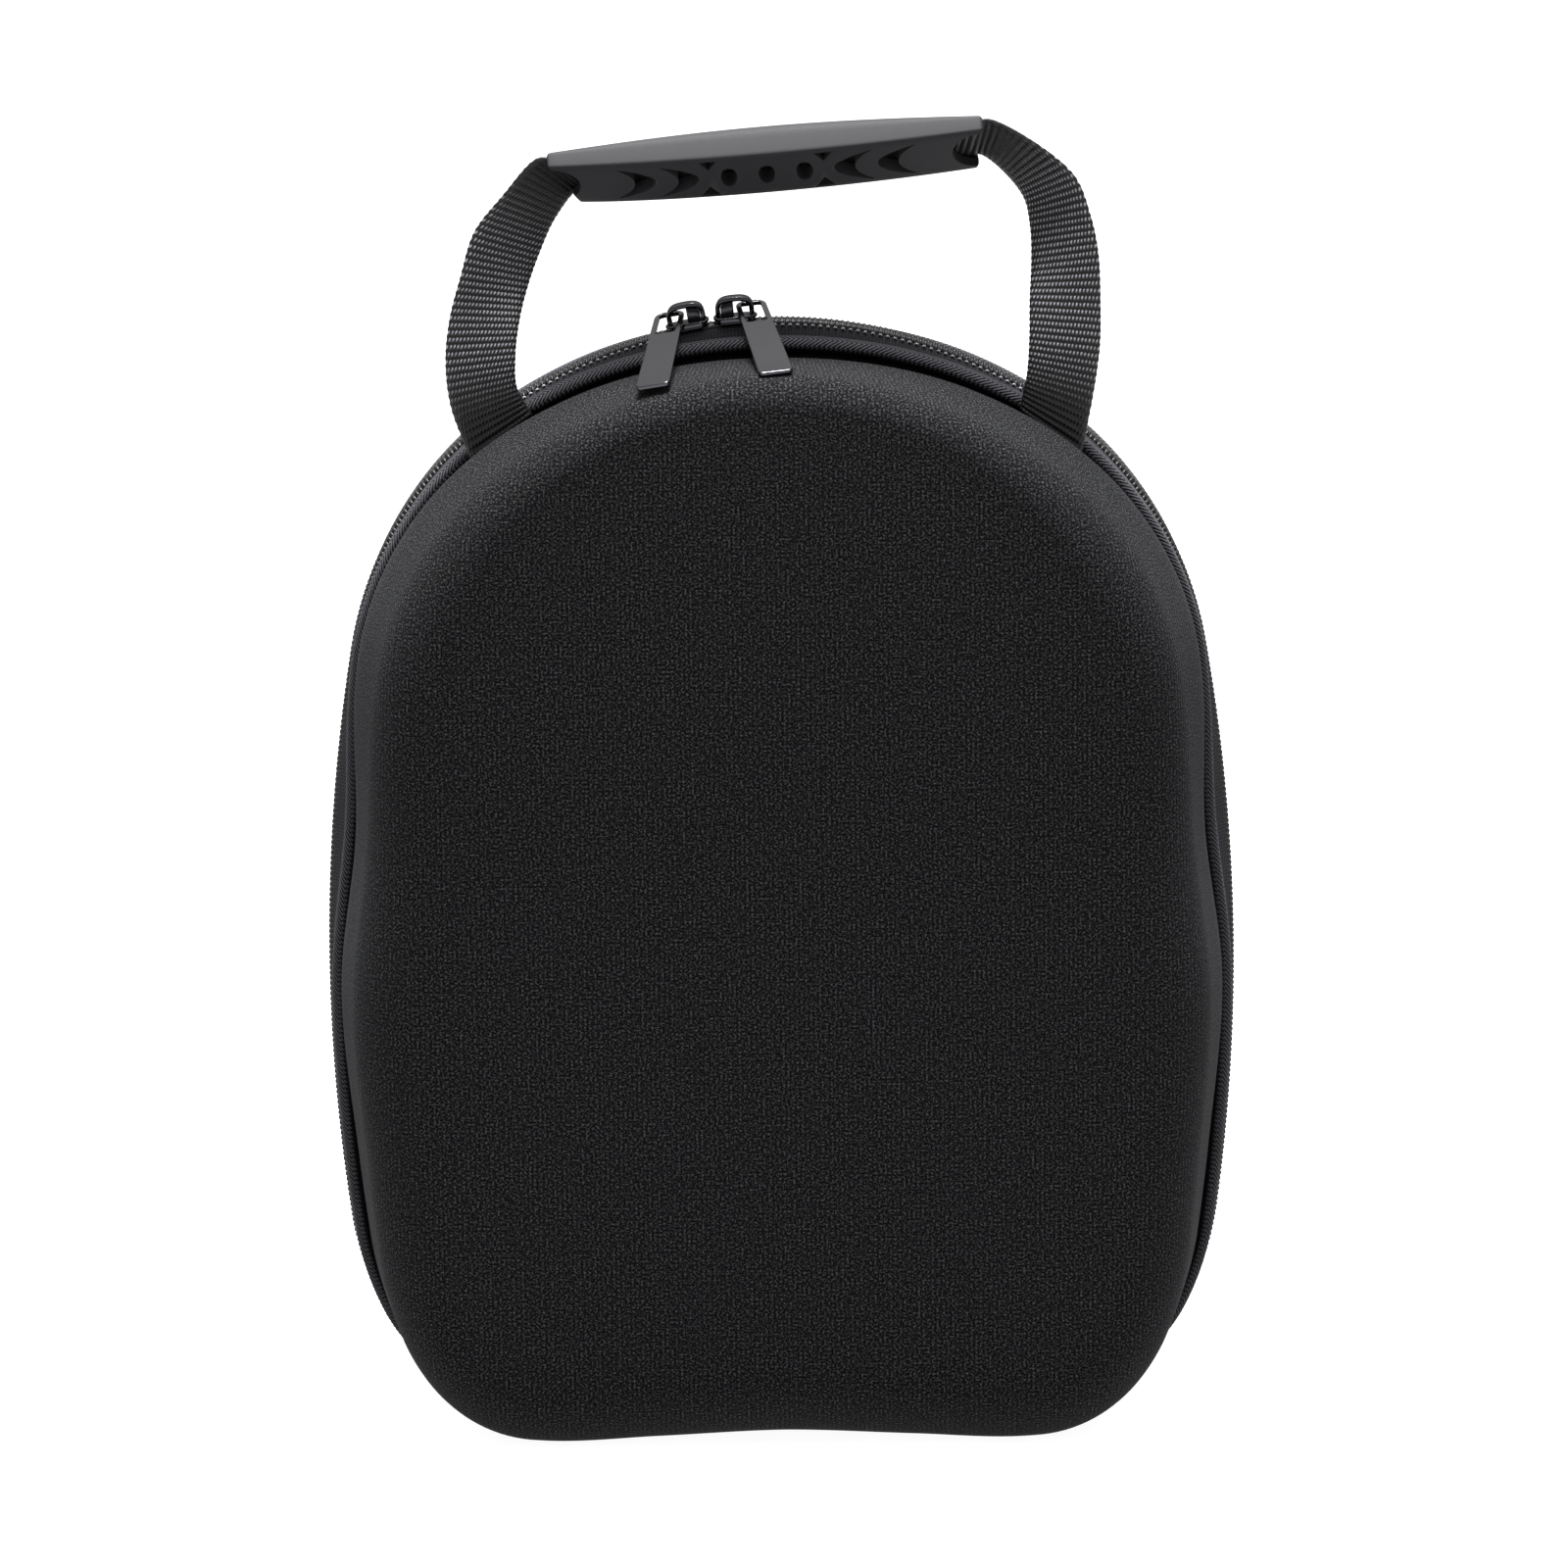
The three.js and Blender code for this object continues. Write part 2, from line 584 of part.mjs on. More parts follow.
// Both edges of the strap, from the left root through the grip to the right root.
function strapEdges() {
  const frame = gripFrame();
  const half = strap.width / 2;
  const root = (side) => ({
    outer: rimPoint(side * strap.rootOuter, strap.rootInset, -strap.rootDepth),
    inner: rimPoint(side * strap.rootInner, strap.rootInset, -strap.rootDepth),
  });
  const rise = (row) => ({
    outer: new THREE.Vector3(row.ox, row.oy, row.oz),
    inner: new THREE.Vector3(row.ix, row.iy, row.iz),
  });
  const inside = (row) => ({
    outer: new THREE.Vector3(row.outer, -half, 0).applyMatrix4(frame),
    inner: new THREE.Vector3(row.inner, half, 0).applyMatrix4(frame),
  });
  const left = [root(-1), ...leftRise.map(rise)];
  const right = [root(1), ...rightRise.map(rise)].reverse();
  return [...left, ...strapInGrip.map(inside), ...right];
}

function strapGeometry() {
  const edges = strapEdges();
  const outer = new THREE.CatmullRomCurve3(edges.map((e) => e.outer), false, 'centripetal');
  const inner = new THREE.CatmullRomCurve3(edges.map((e) => e.inner), false, 'centripetal');
  const steps = 3 * (edges.length - 1);
  const at = (t) => [outer.getPoint(t), inner.getPoint(t)];
  const rings = Array.from({ length: steps + 1 }, (_, i) => {
    const t = i / steps;
    const [o, n] = at(t);
    const [oBefore, nBefore] = at(Math.max(0, t - 1e-3));
    const [oAfter, nAfter] = at(Math.min(1, t + 1e-3));
    const path = oAfter.add(nAfter).sub(oBefore).sub(nBefore);
    const across = o.clone().sub(n);
    const lift = path.cross(across).setLength(strap.thickness / 2);
    return [o.clone().add(lift), n.clone().add(lift), n.clone().sub(lift), o.clone().sub(lift)];
  });
  return skin(rings, { first: middleOf(rings[0]), last: middleOf(rings[steps]) });
}

function mesh(name, geometry, { color, roughness, metalness }) {
  const node = new THREE.Mesh(geometry, new THREE.MeshStandardMaterial({ color, roughness, metalness }));
  node.name = name;
  return node;
}

const group = new THREE.Group();
const loopStations = outlineStations();
const zipStations = stationsBetween(-zipEnd, zipEnd);
const frontShell = shellGeometry('edge');
const rearForm = shellGeometry('rear');
const backShell = outward(
  Array.from({ length: rearForm.getAttribute('position').count }, (_, i) => {
    const p = new THREE.Vector3().fromBufferAttribute(rearForm.getAttribute('position'), i);
    return p.setY(-p.y);
  }),
  Array.from(rearForm.index.array),
);
group.add(mesh('front_shell', frontShell, colours.shell));
group.add(mesh('back_shell', backShell, colours.shell));
for (const [name, side] of [['front', -1], ['back', 1]]) {
  const rolled = rimStrip(loopStations, (s) => bindingSection(s, side), true);
  group.add(mesh(`${name}_binding`, rolled, colours.binding));
  const woven = rimStrip(zipStations, (s) => tapeSection(s, side), false);
  group.add(mesh(`${name}_zip_tape`, woven, colours.zip));
}
group.add(mesh('zip_coil', rimStrip(zipStations, coilSection, false), colours.zip));
group.add(mesh('hinge_tape', hingeGeometry(), colours.binding));
for (const place of sliderPlaces) {
  const body = sliderGeometry(place.hook).applyMatrix4(zipFrame(place.along));
  group.add(mesh(`${place.side}_slider`, body, colours.metal));
  group.add(mesh(`${place.side}_pull`, pullGeometry().applyMatrix4(pullFrame(place)), colours.metal));
}
group.add(mesh('handle_webbing', strapGeometry(), colours.webbing));
group.add(mesh('handle_grip', gripGeometry(), colours.rubber));

export default group;
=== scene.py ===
import json
import bpy
import numpy as np
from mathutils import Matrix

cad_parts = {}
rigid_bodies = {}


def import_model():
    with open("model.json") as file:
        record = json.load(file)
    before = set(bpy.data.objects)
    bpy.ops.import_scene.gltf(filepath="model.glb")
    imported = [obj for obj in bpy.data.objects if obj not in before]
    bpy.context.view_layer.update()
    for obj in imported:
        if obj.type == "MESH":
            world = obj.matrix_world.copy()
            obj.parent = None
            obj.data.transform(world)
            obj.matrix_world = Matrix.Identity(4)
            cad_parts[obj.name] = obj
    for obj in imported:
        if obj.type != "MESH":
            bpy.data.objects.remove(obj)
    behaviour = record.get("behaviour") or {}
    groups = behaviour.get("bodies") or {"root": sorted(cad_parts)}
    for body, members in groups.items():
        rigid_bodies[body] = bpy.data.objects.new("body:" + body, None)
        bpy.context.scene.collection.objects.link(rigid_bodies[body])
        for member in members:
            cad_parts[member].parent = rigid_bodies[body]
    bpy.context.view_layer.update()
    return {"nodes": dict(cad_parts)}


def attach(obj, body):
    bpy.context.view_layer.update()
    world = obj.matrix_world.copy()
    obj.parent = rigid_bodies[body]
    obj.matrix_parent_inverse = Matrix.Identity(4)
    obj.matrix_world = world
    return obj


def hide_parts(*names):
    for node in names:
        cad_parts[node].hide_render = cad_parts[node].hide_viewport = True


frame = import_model()
scene = bpy.context.scene
print("frame loaded:", len(frame["nodes"]), "nodes")

# All lengths below are millimetres; makePiece turns them to metres.
# Outline of the zip line: tangent arcs (radius, sweep in degrees) from the middle of the top to the foot.
caseOutline = {
    "arcs": [(126, 33.0), (101, 47.0), (523, 17.3), (80, 18.8), (44, 67.1)],
    "footTurn": 3.2,       # degrees by which the bottom rises again towards its middle
    "zipEnd": 345,         # the zip runs this far down each side
}
# How a half shell lies inside the outline, by distance along it from the middle of the top.
shellSections = {
    "along": [0, 55, 110, 158, 201, 243, 290, 345, 395, 425, 460],
    "seam": [7, 5.6, 4.9, 5.1, 8, 5.6, 5.8, 5.8, 5.8, 5.8, 5.8],             # inset under the binding
    "belly": [7, 4.4, 2.2, 2.9, 7.3, 4.5, 6.3, 5.6, -1, -1.5, -0.6],         # inset of the wall
    "edge": [9, 10, 17, 18, 20, 20, 20, 20, 21, 22, 22],                     # radius of the front edge
    "rear": [16, 18, 20, 20, 20, 20, 20, 20, 21, 22, 22],                    # and of the back one
    "draft": [0, 11, 18, 18, 12, 12, 10, 7, 0, 0, 0],                        # lean of the wall in degrees
}


# Start point, heading, distance along and signed radius of each arc; each starts where the last one ends.
def layOutline(plan):
    rows, x, z, heading, along = [], 0.0, 0.0, 0.0, 0.0
    for radius, sweep in plan["arcs"]:
        turn = np.radians(sweep)
        rows.append((x, z, heading, along, radius))
        x += radius * (np.sin(heading + turn) - np.sin(heading))
        z -= radius * (np.cos(heading) - np.cos(heading + turn))
        heading, along = heading + turn, along + radius * turn
    footTurn = np.radians(plan["footTurn"])
    cornerRow = rows[-1]
    lowest = cornerRow[1] - cornerRow[4] * (np.cos(cornerRow[2]) + 1)
    rows.append((x, z, heading, along, -x / np.sin(footTurn)))
    half = along + x / np.sin(footTurn) * footTurn
    table = np.array(rows)
    table[:, 1] -= lowest
    return table, half


outlineRows, halfLength = layOutline(caseOutline)


# Point of the outline at a signed distance, with its outward direction: start plus radius by turned heading.
def outlineAt(along):
    reach = np.minimum(np.abs(along), halfLength)
    side = np.where(np.asarray(along) < 0, -1.0, 1.0)
    row = outlineRows[np.searchsorted(outlineRows[:, 3], reach, side="right") - 1]
    startX, startZ, heading0, start, radius = np.moveaxis(row, -1, 0)
    heading = heading0 + (reach - start) / radius
    x = side * (startX + radius * (np.sin(heading) - np.sin(heading0)))
    z = startZ - radius * (np.cos(heading0) - np.cos(heading))
    return x, z, side * np.sin(heading), np.cos(heading)


# Cubic through a column of the section table, with slopes from each row's neighbours and level ends.
def sectionAt(column, along):
    at = np.array(shellSections["along"], float)
    value = np.array(shellSections[column], float)
    slope = np.zeros_like(value)
    slope[1:-1] = (value[2:] - value[:-2]) / (at[2:] - at[:-2])
    reach = np.abs(along)
    i = np.clip(np.searchsorted(at, reach, side="left") - 1, 0, len(at) - 2)
    span = at[i + 1] - at[i]
    t = np.clip((reach - at[i]) / span, 0, 1)
    keep = 2 * t**3 - 3 * t**2 + 1
    return (keep * value[i] + (t**3 - 2 * t**2 + t) * span * slope[i]
            + (1 - keep) * value[i + 1] + (t**3 - t**2) * span * slope[i + 1])


# A point of the rim: the outline's point moved inwards by an inset, at a depth y.
def rimPoints(along, inset, y):
    x, z, outX, outZ = outlineAt(along)
    return np.stack(np.broadcast_arrays(x - outX * inset, y, z - outZ * inset), -1)


# Quads over a grid of points (rows by columns), closed across or along on request, ends closed on a point.
# Each corner keeps the grid's own pattern coordinates, so a closed seam has none that run back.
def gridPart(points, pattern, closeAcross=False, closeAlong=False, first=None, last=None):
    rows, columns = points.shape[:2]
    bands, steps = rows - (not closeAlong), columns - (not closeAcross)
    r, c = np.meshgrid(np.arange(bands), np.arange(steps), indexing="ij")
    cornerR = np.stack([r, r, r + 1, r + 1], -1).reshape(-1, 4)
    cornerC = np.stack([c, c + 1, c + 1, c], -1).reshape(-1, 4)
    faces = (cornerR % rows) * columns + cornerC % columns
    cornerUv = pattern[cornerR, cornerC]
    verts = points.reshape(-1, 3)
    for pole, row in ((first, 0), (last, rows - 1)):
        if pole is None:
            continue
        a = np.arange(steps)
        order = [a + 1, a] if row == 0 else [a, a + 1]
        tip = np.full(steps, len(verts))
        ring = [row * columns + k % columns for k in order]
        faces = np.vstack([faces, np.stack([*ring, tip, np.full(steps, -1)], -1)])
        tipUv = np.broadcast_to(pattern[row].mean(0), (steps, 2))
        ringUv = [pattern[row, k] for k in order]
        cornerUv = np.vstack([cornerUv, np.stack([*ringUv, tipUv, tipUv], 1)])
        verts = np.vstack([verts, np.asarray(pole, float)[None]])
    return facingOut(verts, faces, cornerUv)


# Turns a closed surface to face out: the sum of its triangles' signed volumes has to be positive.
def facingOut(verts, faces, cornerUv):
    a, b, c = (verts[faces[:, k]] for k in (0, 1, 2))
    d = verts[np.where(faces[:, 3] < 0, faces[:, 2], faces[:, 3])]
    volume = np.einsum("ij,ij->i", a, np.cross(b, c) + np.cross(c, d)).sum()
    if volume < 0:
        order = np.where(faces[:, 3:] < 0, [[2, 1, 0, 3]], [[3, 2, 1, 0]])
        faces = np.take_along_axis(faces, order, 1)
        cornerUv = np.take_along_axis(cornerUv, order[..., None], 1)
    return verts, faces, cornerUv


# Many copies of one small part: its points are already placed, copy by copy.
def repeatPart(placed, part):
    count, size = placed.shape[:2]
    faces = part[1][None] + np.where(part[1][None] < 0, 0, np.arange(count)[:, None, None] * size)
    return placed.reshape(-1, 3), faces.reshape(-1, 4), np.tile(part[2], (count, 1, 1))


# One object from one or more parts, at the origin, with a smooth surface and the pattern coordinates as UV.
def makePiece(name, parts, material, body="case", replaces=(), sharpAngle=None):
    offsets = np.cumsum([0] + [len(p[0]) for p in parts[:-1]])
    verts = np.vstack([p[0] for p in parts]) * 0.001
    faces = np.vstack([np.where(p[1] < 0, -1, p[1] + o) for p, o in zip(parts, offsets)])
    cornerUv = np.vstack([p[2] for p in parts])
    used = faces >= 0
    mesh = bpy.data.meshes.new(name)
    mesh.vertices.add(len(verts))
    mesh.vertices.foreach_set("co", verts.ravel())
    mesh.loops.add(int(used.sum()))
    mesh.loops.foreach_set("vertex_index", faces[used].astype(np.int32))
    mesh.polygons.add(len(faces))
    starts = np.concatenate([[0], np.cumsum(used.sum(1))[:-1]])
    mesh.polygons.foreach_set("loop_start", starts.astype(np.int32))
    mesh.update(calc_edges=True)
    layer = mesh.uv_layers.new(name="pattern")
    layer.data.foreach_set("uv", cornerUv[used].ravel())
    mesh.polygons.foreach_set("use_smooth", np.ones(len(faces), bool))
    if sharpAngle:
        mesh.set_sharp_from_angle(angle=np.radians(sharpAngle))
    mesh.materials.append(material)
    piece = bpy.data.objects.new(name, mesh)
    scene.collection.objects.link(piece)
    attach(piece, body)
    if replaces:
        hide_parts(*replaces)
    print("made", name, len(verts), "points")
    return piece


# sRGB hex to linear colour.
def linearColour(code):
    part = np.array([int(code[i:i + 2], 16) for i in (1, 3, 5)]) / 255
    part = np.where(part <= 0.04045, part / 12.92, ((part + 0.055) / 1.055) ** 2.4)
    return (*part.tolist(), 1.0)


# Adds a node with its settings; an input given as a node or socket is linked, any other value is set.
def addNode(tree, kind, inputs=None, **settings):
    node = tree.nodes.new("ShaderNode" + kind)
    for key, value in settings.items():
        setattr(node, key, value)
    for key, value in (inputs or {}).items():
        if isinstance(value, bpy.types.Node):
            value = value.outputs[0]
        if isinstance(value, bpy.types.NodeSocket):
            tree.links.new(value, node.inputs[key])
        else:
            node.inputs[key].default_value = value
    return node


# An empty material with its surface shader and the pattern coordinates along and across the cloth.
def startMaterial(name, **constants):
    material = bpy.data.materials.new(name)
    material.use_nodes = True
    tree = material.node_tree
    tree.nodes.clear()
    shader = addNode(tree, "BsdfPrincipled", {key.replace("_", " "): v for key, v in constants.items()})
    addNode(tree, "OutputMaterial", {"Surface": shader})
    uv = addNode(tree, "SeparateXYZ", {0: addNode(tree, "UVMap", uv_map="pattern")})
    return material, tree, shader, uv.outputs[0], uv.outputs[1]


# Rows of round threads or wales: the absolute sine of the distance over their pitch.
def ridges(tree, axis, pitch):
    turn = addNode(tree, "Math", {0: axis, 1: np.pi / pitch}, operation="MULTIPLY")
    wave = addNode(tree, "Math", {0: turn}, operation="SINE")
    return addNode(tree, "Math", {0: wave}, operation="ABSOLUTE")


# Ends a cloth material: its colour runs from dark to light by a tone, and a height gives the bump.
def finishCloth(tree, shader, tone, dark, light, height, relief):
    ends = {"A": linearColour(dark), "B": linearColour(light)}
    colour = addNode(tree, "Mix", {0: tone, **ends}, data_type="RGBA")
    tree.links.new(colour.outputs["Result"], shader.inputs["Base Color"])
    bump = addNode(tree, "Bump", {"Height": height, "Strength": 0.8, "Distance": relief * 0.001})
    tree.links.new(bump.outputs[0], shader.inputs["Normal"])


# Polyester tricot laminated on moulded EVA foam: fine upright wales and a peppery nap, matt, paler at a
# slant. The loops are 0.5 mm and the fibres finer; both are made coarser, so that they show. Next to the
# seam, up to a depth from the zip, the cloth is darkened to black as painted shade of the groove.
def knittedPolyesterOnEva():
    knit = {"wale": 1.25, "course": 1.0, "fibre": 0.6, "waver": 0.25, "fleck": (0.48, 0.62), "relief": 0.11,
            "dark": "#000001", "light": "#333334", "pressed": (15.0, 18.0)}
    material, tree, shader, u, v = startMaterial(
        "knitted_polyester_on_eva", Roughness=0.95, IOR=1.4, Sheen_Weight=0.02, Sheen_Roughness=0.5,
        Sheen_Tint=linearColour("#e6e8f0"), Specular_IOR_Level=0.1)
    where = addNode(tree, "CombineXYZ", {0: u, 1: v})
    drift = addNode(tree, "TexNoise", {"Vector": where, "Scale": 0.25, "Detail": 1.0})
    across = addNode(tree, "Math", {0: drift, 1: knit["waver"] * 4, 2: u}, operation="MULTIPLY_ADD")
    wale = ridges(tree, across, knit["wale"])
    climb = addNode(tree, "Math", {0: wale, 1: knit["course"] / 2, 2: v}, operation="MULTIPLY_ADD")
    loop = ridges(tree, climb, knit["course"])
    fill = addNode(tree, "Math", {0: loop, 1: 0.5, 2: 0.5}, operation="MULTIPLY_ADD")
    stitch = addNode(tree, "Math", {0: wale, 1: fill}, operation="MULTIPLY")
    nap = addNode(tree, "TexNoise", {"Vector": where, "Scale": 1 / knit["fibre"], "Detail": 2.0,
                                     "Roughness": 0.65})
    low, high = knit["fleck"]
    fleck = addNode(tree, "MapRange", {"Value": nap, "From Min": low, "From Max": high})
    height = addNode(tree, "Math", {0: fleck, 1: 0.8, 2: stitch}, operation="MULTIPLY_ADD")
    ridge = addNode(tree, "Math", {0: stitch, 1: 0.75, 2: 0.25}, operation="MULTIPLY_ADD")
    tone = addNode(tree, "Math", {0: fleck, 1: ridge}, operation="MULTIPLY")
    # Painted shade: the tone fades to black in the groove beside the binding, by depth from the zip.
    place = addNode(tree, "SeparateXYZ", {0: addNode(tree, "TexCoord").outputs["Object"]})
    depth = addNode(tree, "Math", {0: place.outputs[1]}, operation="ABSOLUTE")
    black, clear = (d * 0.001 for d in knit["pressed"])
    shown = addNode(tree, "MapRange", {"Value": depth, "From Min": black, "From Max": clear})
    tone = addNode(tree, "Math", {0: tone, 1: shown}, operation="MULTIPLY")
    finishCloth(tree, shader, tone, knit["dark"], knit["light"], height, knit["relief"])
    return material


# Plain weaves: threads across the cloth and finer ones along it, with a little loose fibre.
def wovenPolyester(name, rib, thread, dark, light, roughness, relief, sheen):
    material, tree, shader, u, v = startMaterial(
        name, Roughness=roughness, IOR=1.45, Sheen_Weight=sheen, Sheen_Roughness=0.5, Specular_IOR_Level=0.12)
    weave = addNode(tree, "Math", {0: ridges(tree, u, rib), 1: ridges(tree, v, thread)}, operation="ADD")
    where = addNode(tree, "CombineXYZ", {0: u, 1: v})
    fuzz = addNode(tree, "TexNoise", {"Vector": where, "Scale": 1.8, "Detail": 2.0})
    height = addNode(tree, "Math", {0: fuzz, 1: 1.4, 2: weave}, operation="MULTIPLY_ADD")
    tone = addNode(tree, "MapRange", {"Value": height, "From Min": 1.0, "From Max": 2.6})
    finishCloth(tree, shader, tone, dark, light, height, relief)
    return material


# Herringbone tape: slanting cords that turn back at each band, pale on their crests and black between; the
# shares of its girth that turn in towards the shell are darkened to black as painted shade.
def herringbonePolyester():
    twill = {"dark": "#010102", "light": "#39393d", "relief": 0.08, "crest": (0.78, 1.32), "girth": 16.3,
             "under": (0.5, 0.6, 0.92, 1.0)}
    material, tree, shader, u, v = startMaterial(
        "herringbone_polyester_tape", Roughness=0.85, IOR=1.45, Sheen_Weight=0.02, Sheen_Roughness=0.5,
        Specular_IOR_Level=0.12)
    turn = addNode(tree, "Math", {0: v, 1: rolledBinding["twillBand"]}, operation="PINGPONG")
    slant = addNode(tree, "Math", {0: u, 1: turn}, operation="SUBTRACT")
    cord = ridges(tree, slant, rolledBinding["twillPitch"])
    where = addNode(tree, "CombineXYZ", {0: u, 1: v})
    fuzz = addNode(tree, "TexNoise", {"Vector": where, "Scale": 1.6, "Detail": 2.0})
    height = addNode(tree, "Math", {0: fuzz, 1: 0.7, 2: cord}, operation="MULTIPLY_ADD")
    low, high = twill["crest"]
    crest = addNode(tree, "MapRange", {"Value": height, "From Min": low, "From Max": high})
    # Painted shade: the "under" shares of the girth, next to the shell, are darkened to black.
    fade, gone, back, full = (share * twill["girth"] for share in twill["under"])
    inner = addNode(tree, "MapRange", {"Value": v, "From Min": gone, "From Max": fade})
    outer = addNode(tree, "MapRange", {"Value": v, "From Min": back, "From Max": full})
    lit = addNode(tree, "Math", {0: inner, 1: outer}, operation="MAXIMUM")
    tone = addNode(tree, "Math", {0: crest, 1: lit}, operation="MULTIPLY")
    finishCloth(tree, shader, tone, twill["dark"], twill["light"], height, twill["relief"])
    return material


# Ribbed polypropylene webbing: rows of bright leaning floats with black gaps, partly painted light and shade
# for the relief; the tone fades to black near the roots, where it is stitched in, and near the grip's mouths,
# as painted shade.
def ribbedPolypropylene(length, mouths):
    web = {"dark": "#010102", "light": "#747479", "relief": 0.08, "bright": (0.8, 1.2),
           "sewn": (7.0, 21.0), "mouthShade": (2.0, 22.0)}
    material, tree, shader, u, v = startMaterial(
        "ribbed_polypropylene_webbing", Roughness=0.5, IOR=1.49, Specular_IOR_Level=0.3)
    # Pale floats and black gaps: the weave, partly painted light and shade in place of the relief's own
    # shading.
    row = ridges(tree, u, handleStrap["ribPitch"])
    aslant = addNode(tree, "Math", {0: u, 1: handleStrap["floatLean"], 2: v}, operation="MULTIPLY_ADD")
    thread = ridges(tree, aslant, handleStrap["width"] / handleStrap["floats"])
    floats = addNode(tree, "Math", {0: row, 1: thread}, operation="MULTIPLY")
    where = addNode(tree, "CombineXYZ", {0: u, 1: v})
    fuzz = addNode(tree, "TexNoise", {"Vector": where, "Scale": 0.9, "Detail": 2.0})
    height = addNode(tree, "Math", {0: fuzz, 1: 0.5, 2: floats}, operation="MULTIPLY_ADD")
    low, high = web["bright"]
    bright = addNode(tree, "MapRange", {"Value": height, "From Min": low, "From Max": high})
    # Painted shade: the tone ramps to black towards both roots and both grip mouths.
    near, far = web["sewn"], web["mouthShade"]
    spans = [(near, [mouths[0] - d for d in far]),
             ([length - d for d in near], [mouths[1] + d for d in far])]
    ramps = [[addNode(tree, "MapRange", {"Value": u, "From Min": low, "From Max": high},
                      interpolation_type="SMOOTHSTEP") for low, high in span] for span in spans]
    sides = [addNode(tree, "Math", {0: r[0], 1: r[1]}, operation="MULTIPLY") for r in ramps]
    shown = addNode(tree, "Math", {0: sides[0], 1: sides[1]}, operation="ADD")
    tone = addNode(tree, "Math", {0: bright, 1: shown}, operation="MULTIPLY")
    finishCloth(tree, shader, tone, web["dark"], web["light"], height, web["relief"])
    return material


# Moulded, cast or extruded stock: one colour with a fine grain in the gloss and the surface.
def plainStock(name, colour, roughness, metallic, grain, relief, **constants):
    material, tree, shader = startMaterial(
        name, Base_Color=linearColour(colour), Metallic=metallic, **constants)[:3]
    place = addNode(tree, "TexCoord").outputs["Object"]
    noise = addNode(tree, "TexNoise", {"Vector": place, "Scale": 1000 / grain, "Detail": 3.0})
    ends = {"To Min": roughness - 0.06, "To Max": roughness + 0.06}
    gloss = addNode(tree, "MapRange", {"Value": noise, **ends})
    tree.links.new(gloss.outputs[0], shader.inputs["Roughness"])
    bump = addNode(tree, "Bump", {"Height": noise, "Strength": 0.5, "Distance": relief * 0.001})
    tree.links.new(bump.outputs[0], shader.inputs["Normal"])
    return material


shellCloth = knittedPolyesterOnEva()
# Woven zip tape: flat, fine cross ribs, a little darker than the binding.
tapeCloth = wovenPolyester("woven_polyester_zip_tape", 0.9, 0.6, "#09090a", "#29292c", 0.85, 0.06, 0.02)
# Spun sewing thread: satin, the lightest line of the rim; its pale grey is partly painted highlight, for the
# glints on the stitches.
sewingThread = wovenPolyester("spun_polyester_thread", 0.5, 0.25, "#5a5a60", "#a0a0a6", 0.4, 0.03, 0.1)
# Extruded nylon coil: small satin lights on each turn.
coilNylon = plainStock("extruded_nylon_coil", "#060607", 0.45, 0.0, 0.8, 0.01, Specular_IOR_Level=0.3)
# Die-cast zinc plated in black nickel: grey mirror softened by the tumbled finish.
blackNickel = plainStock("die_cast_zinc_black_nickel", "#3f3f42", 0.2, 1.0, 1.2, 0.003)
# Injection-moulded soft rubber: even dark grey with a broad, dull light.
gripRubber = plainStock("moulded_soft_rubber", "#1c1c1e", 0.7, 0.0, 0.5, 0.02, Specular_IOR_Level=0.16)
print("materials made")


halfShell = {
    "faceBase": 61.2,      # depth of the face at the ground
    "faceLean": 0.051,     # by which it is less for each millimetre of height
    "faceBulge": 2,        # and more at its centre
    "faceCentre": 140,     # height of that centre
    "wall": 4,             # EVA with its fabric
    "lip": (4, 9, 13),     # depths along the straight lip, from the zip to under the binding
    "grooveDepth": 14.5,   # depth where the wall comes out from under the binding
    "bellyDepth": 22,      # depth where it has swelled to its full width
    "grooveDip": 3.4,      # by which the seam is drawn in there
    "draftEase": 0.12,     # share of the wall over which its lean sets in
    "wallRows": (0.06, 0.13, 0.22, 0.35, 0.5, 0.7, 0.85),     # shares of the wall, closer where it bends
    "stations": 420,       # points round the outline
    "faceRings": 24,
}


# Depth of a face at a height: a plane that leans back.
def faceDepth(z):
    return halfShell["faceBase"] - halfShell["faceLean"] * z


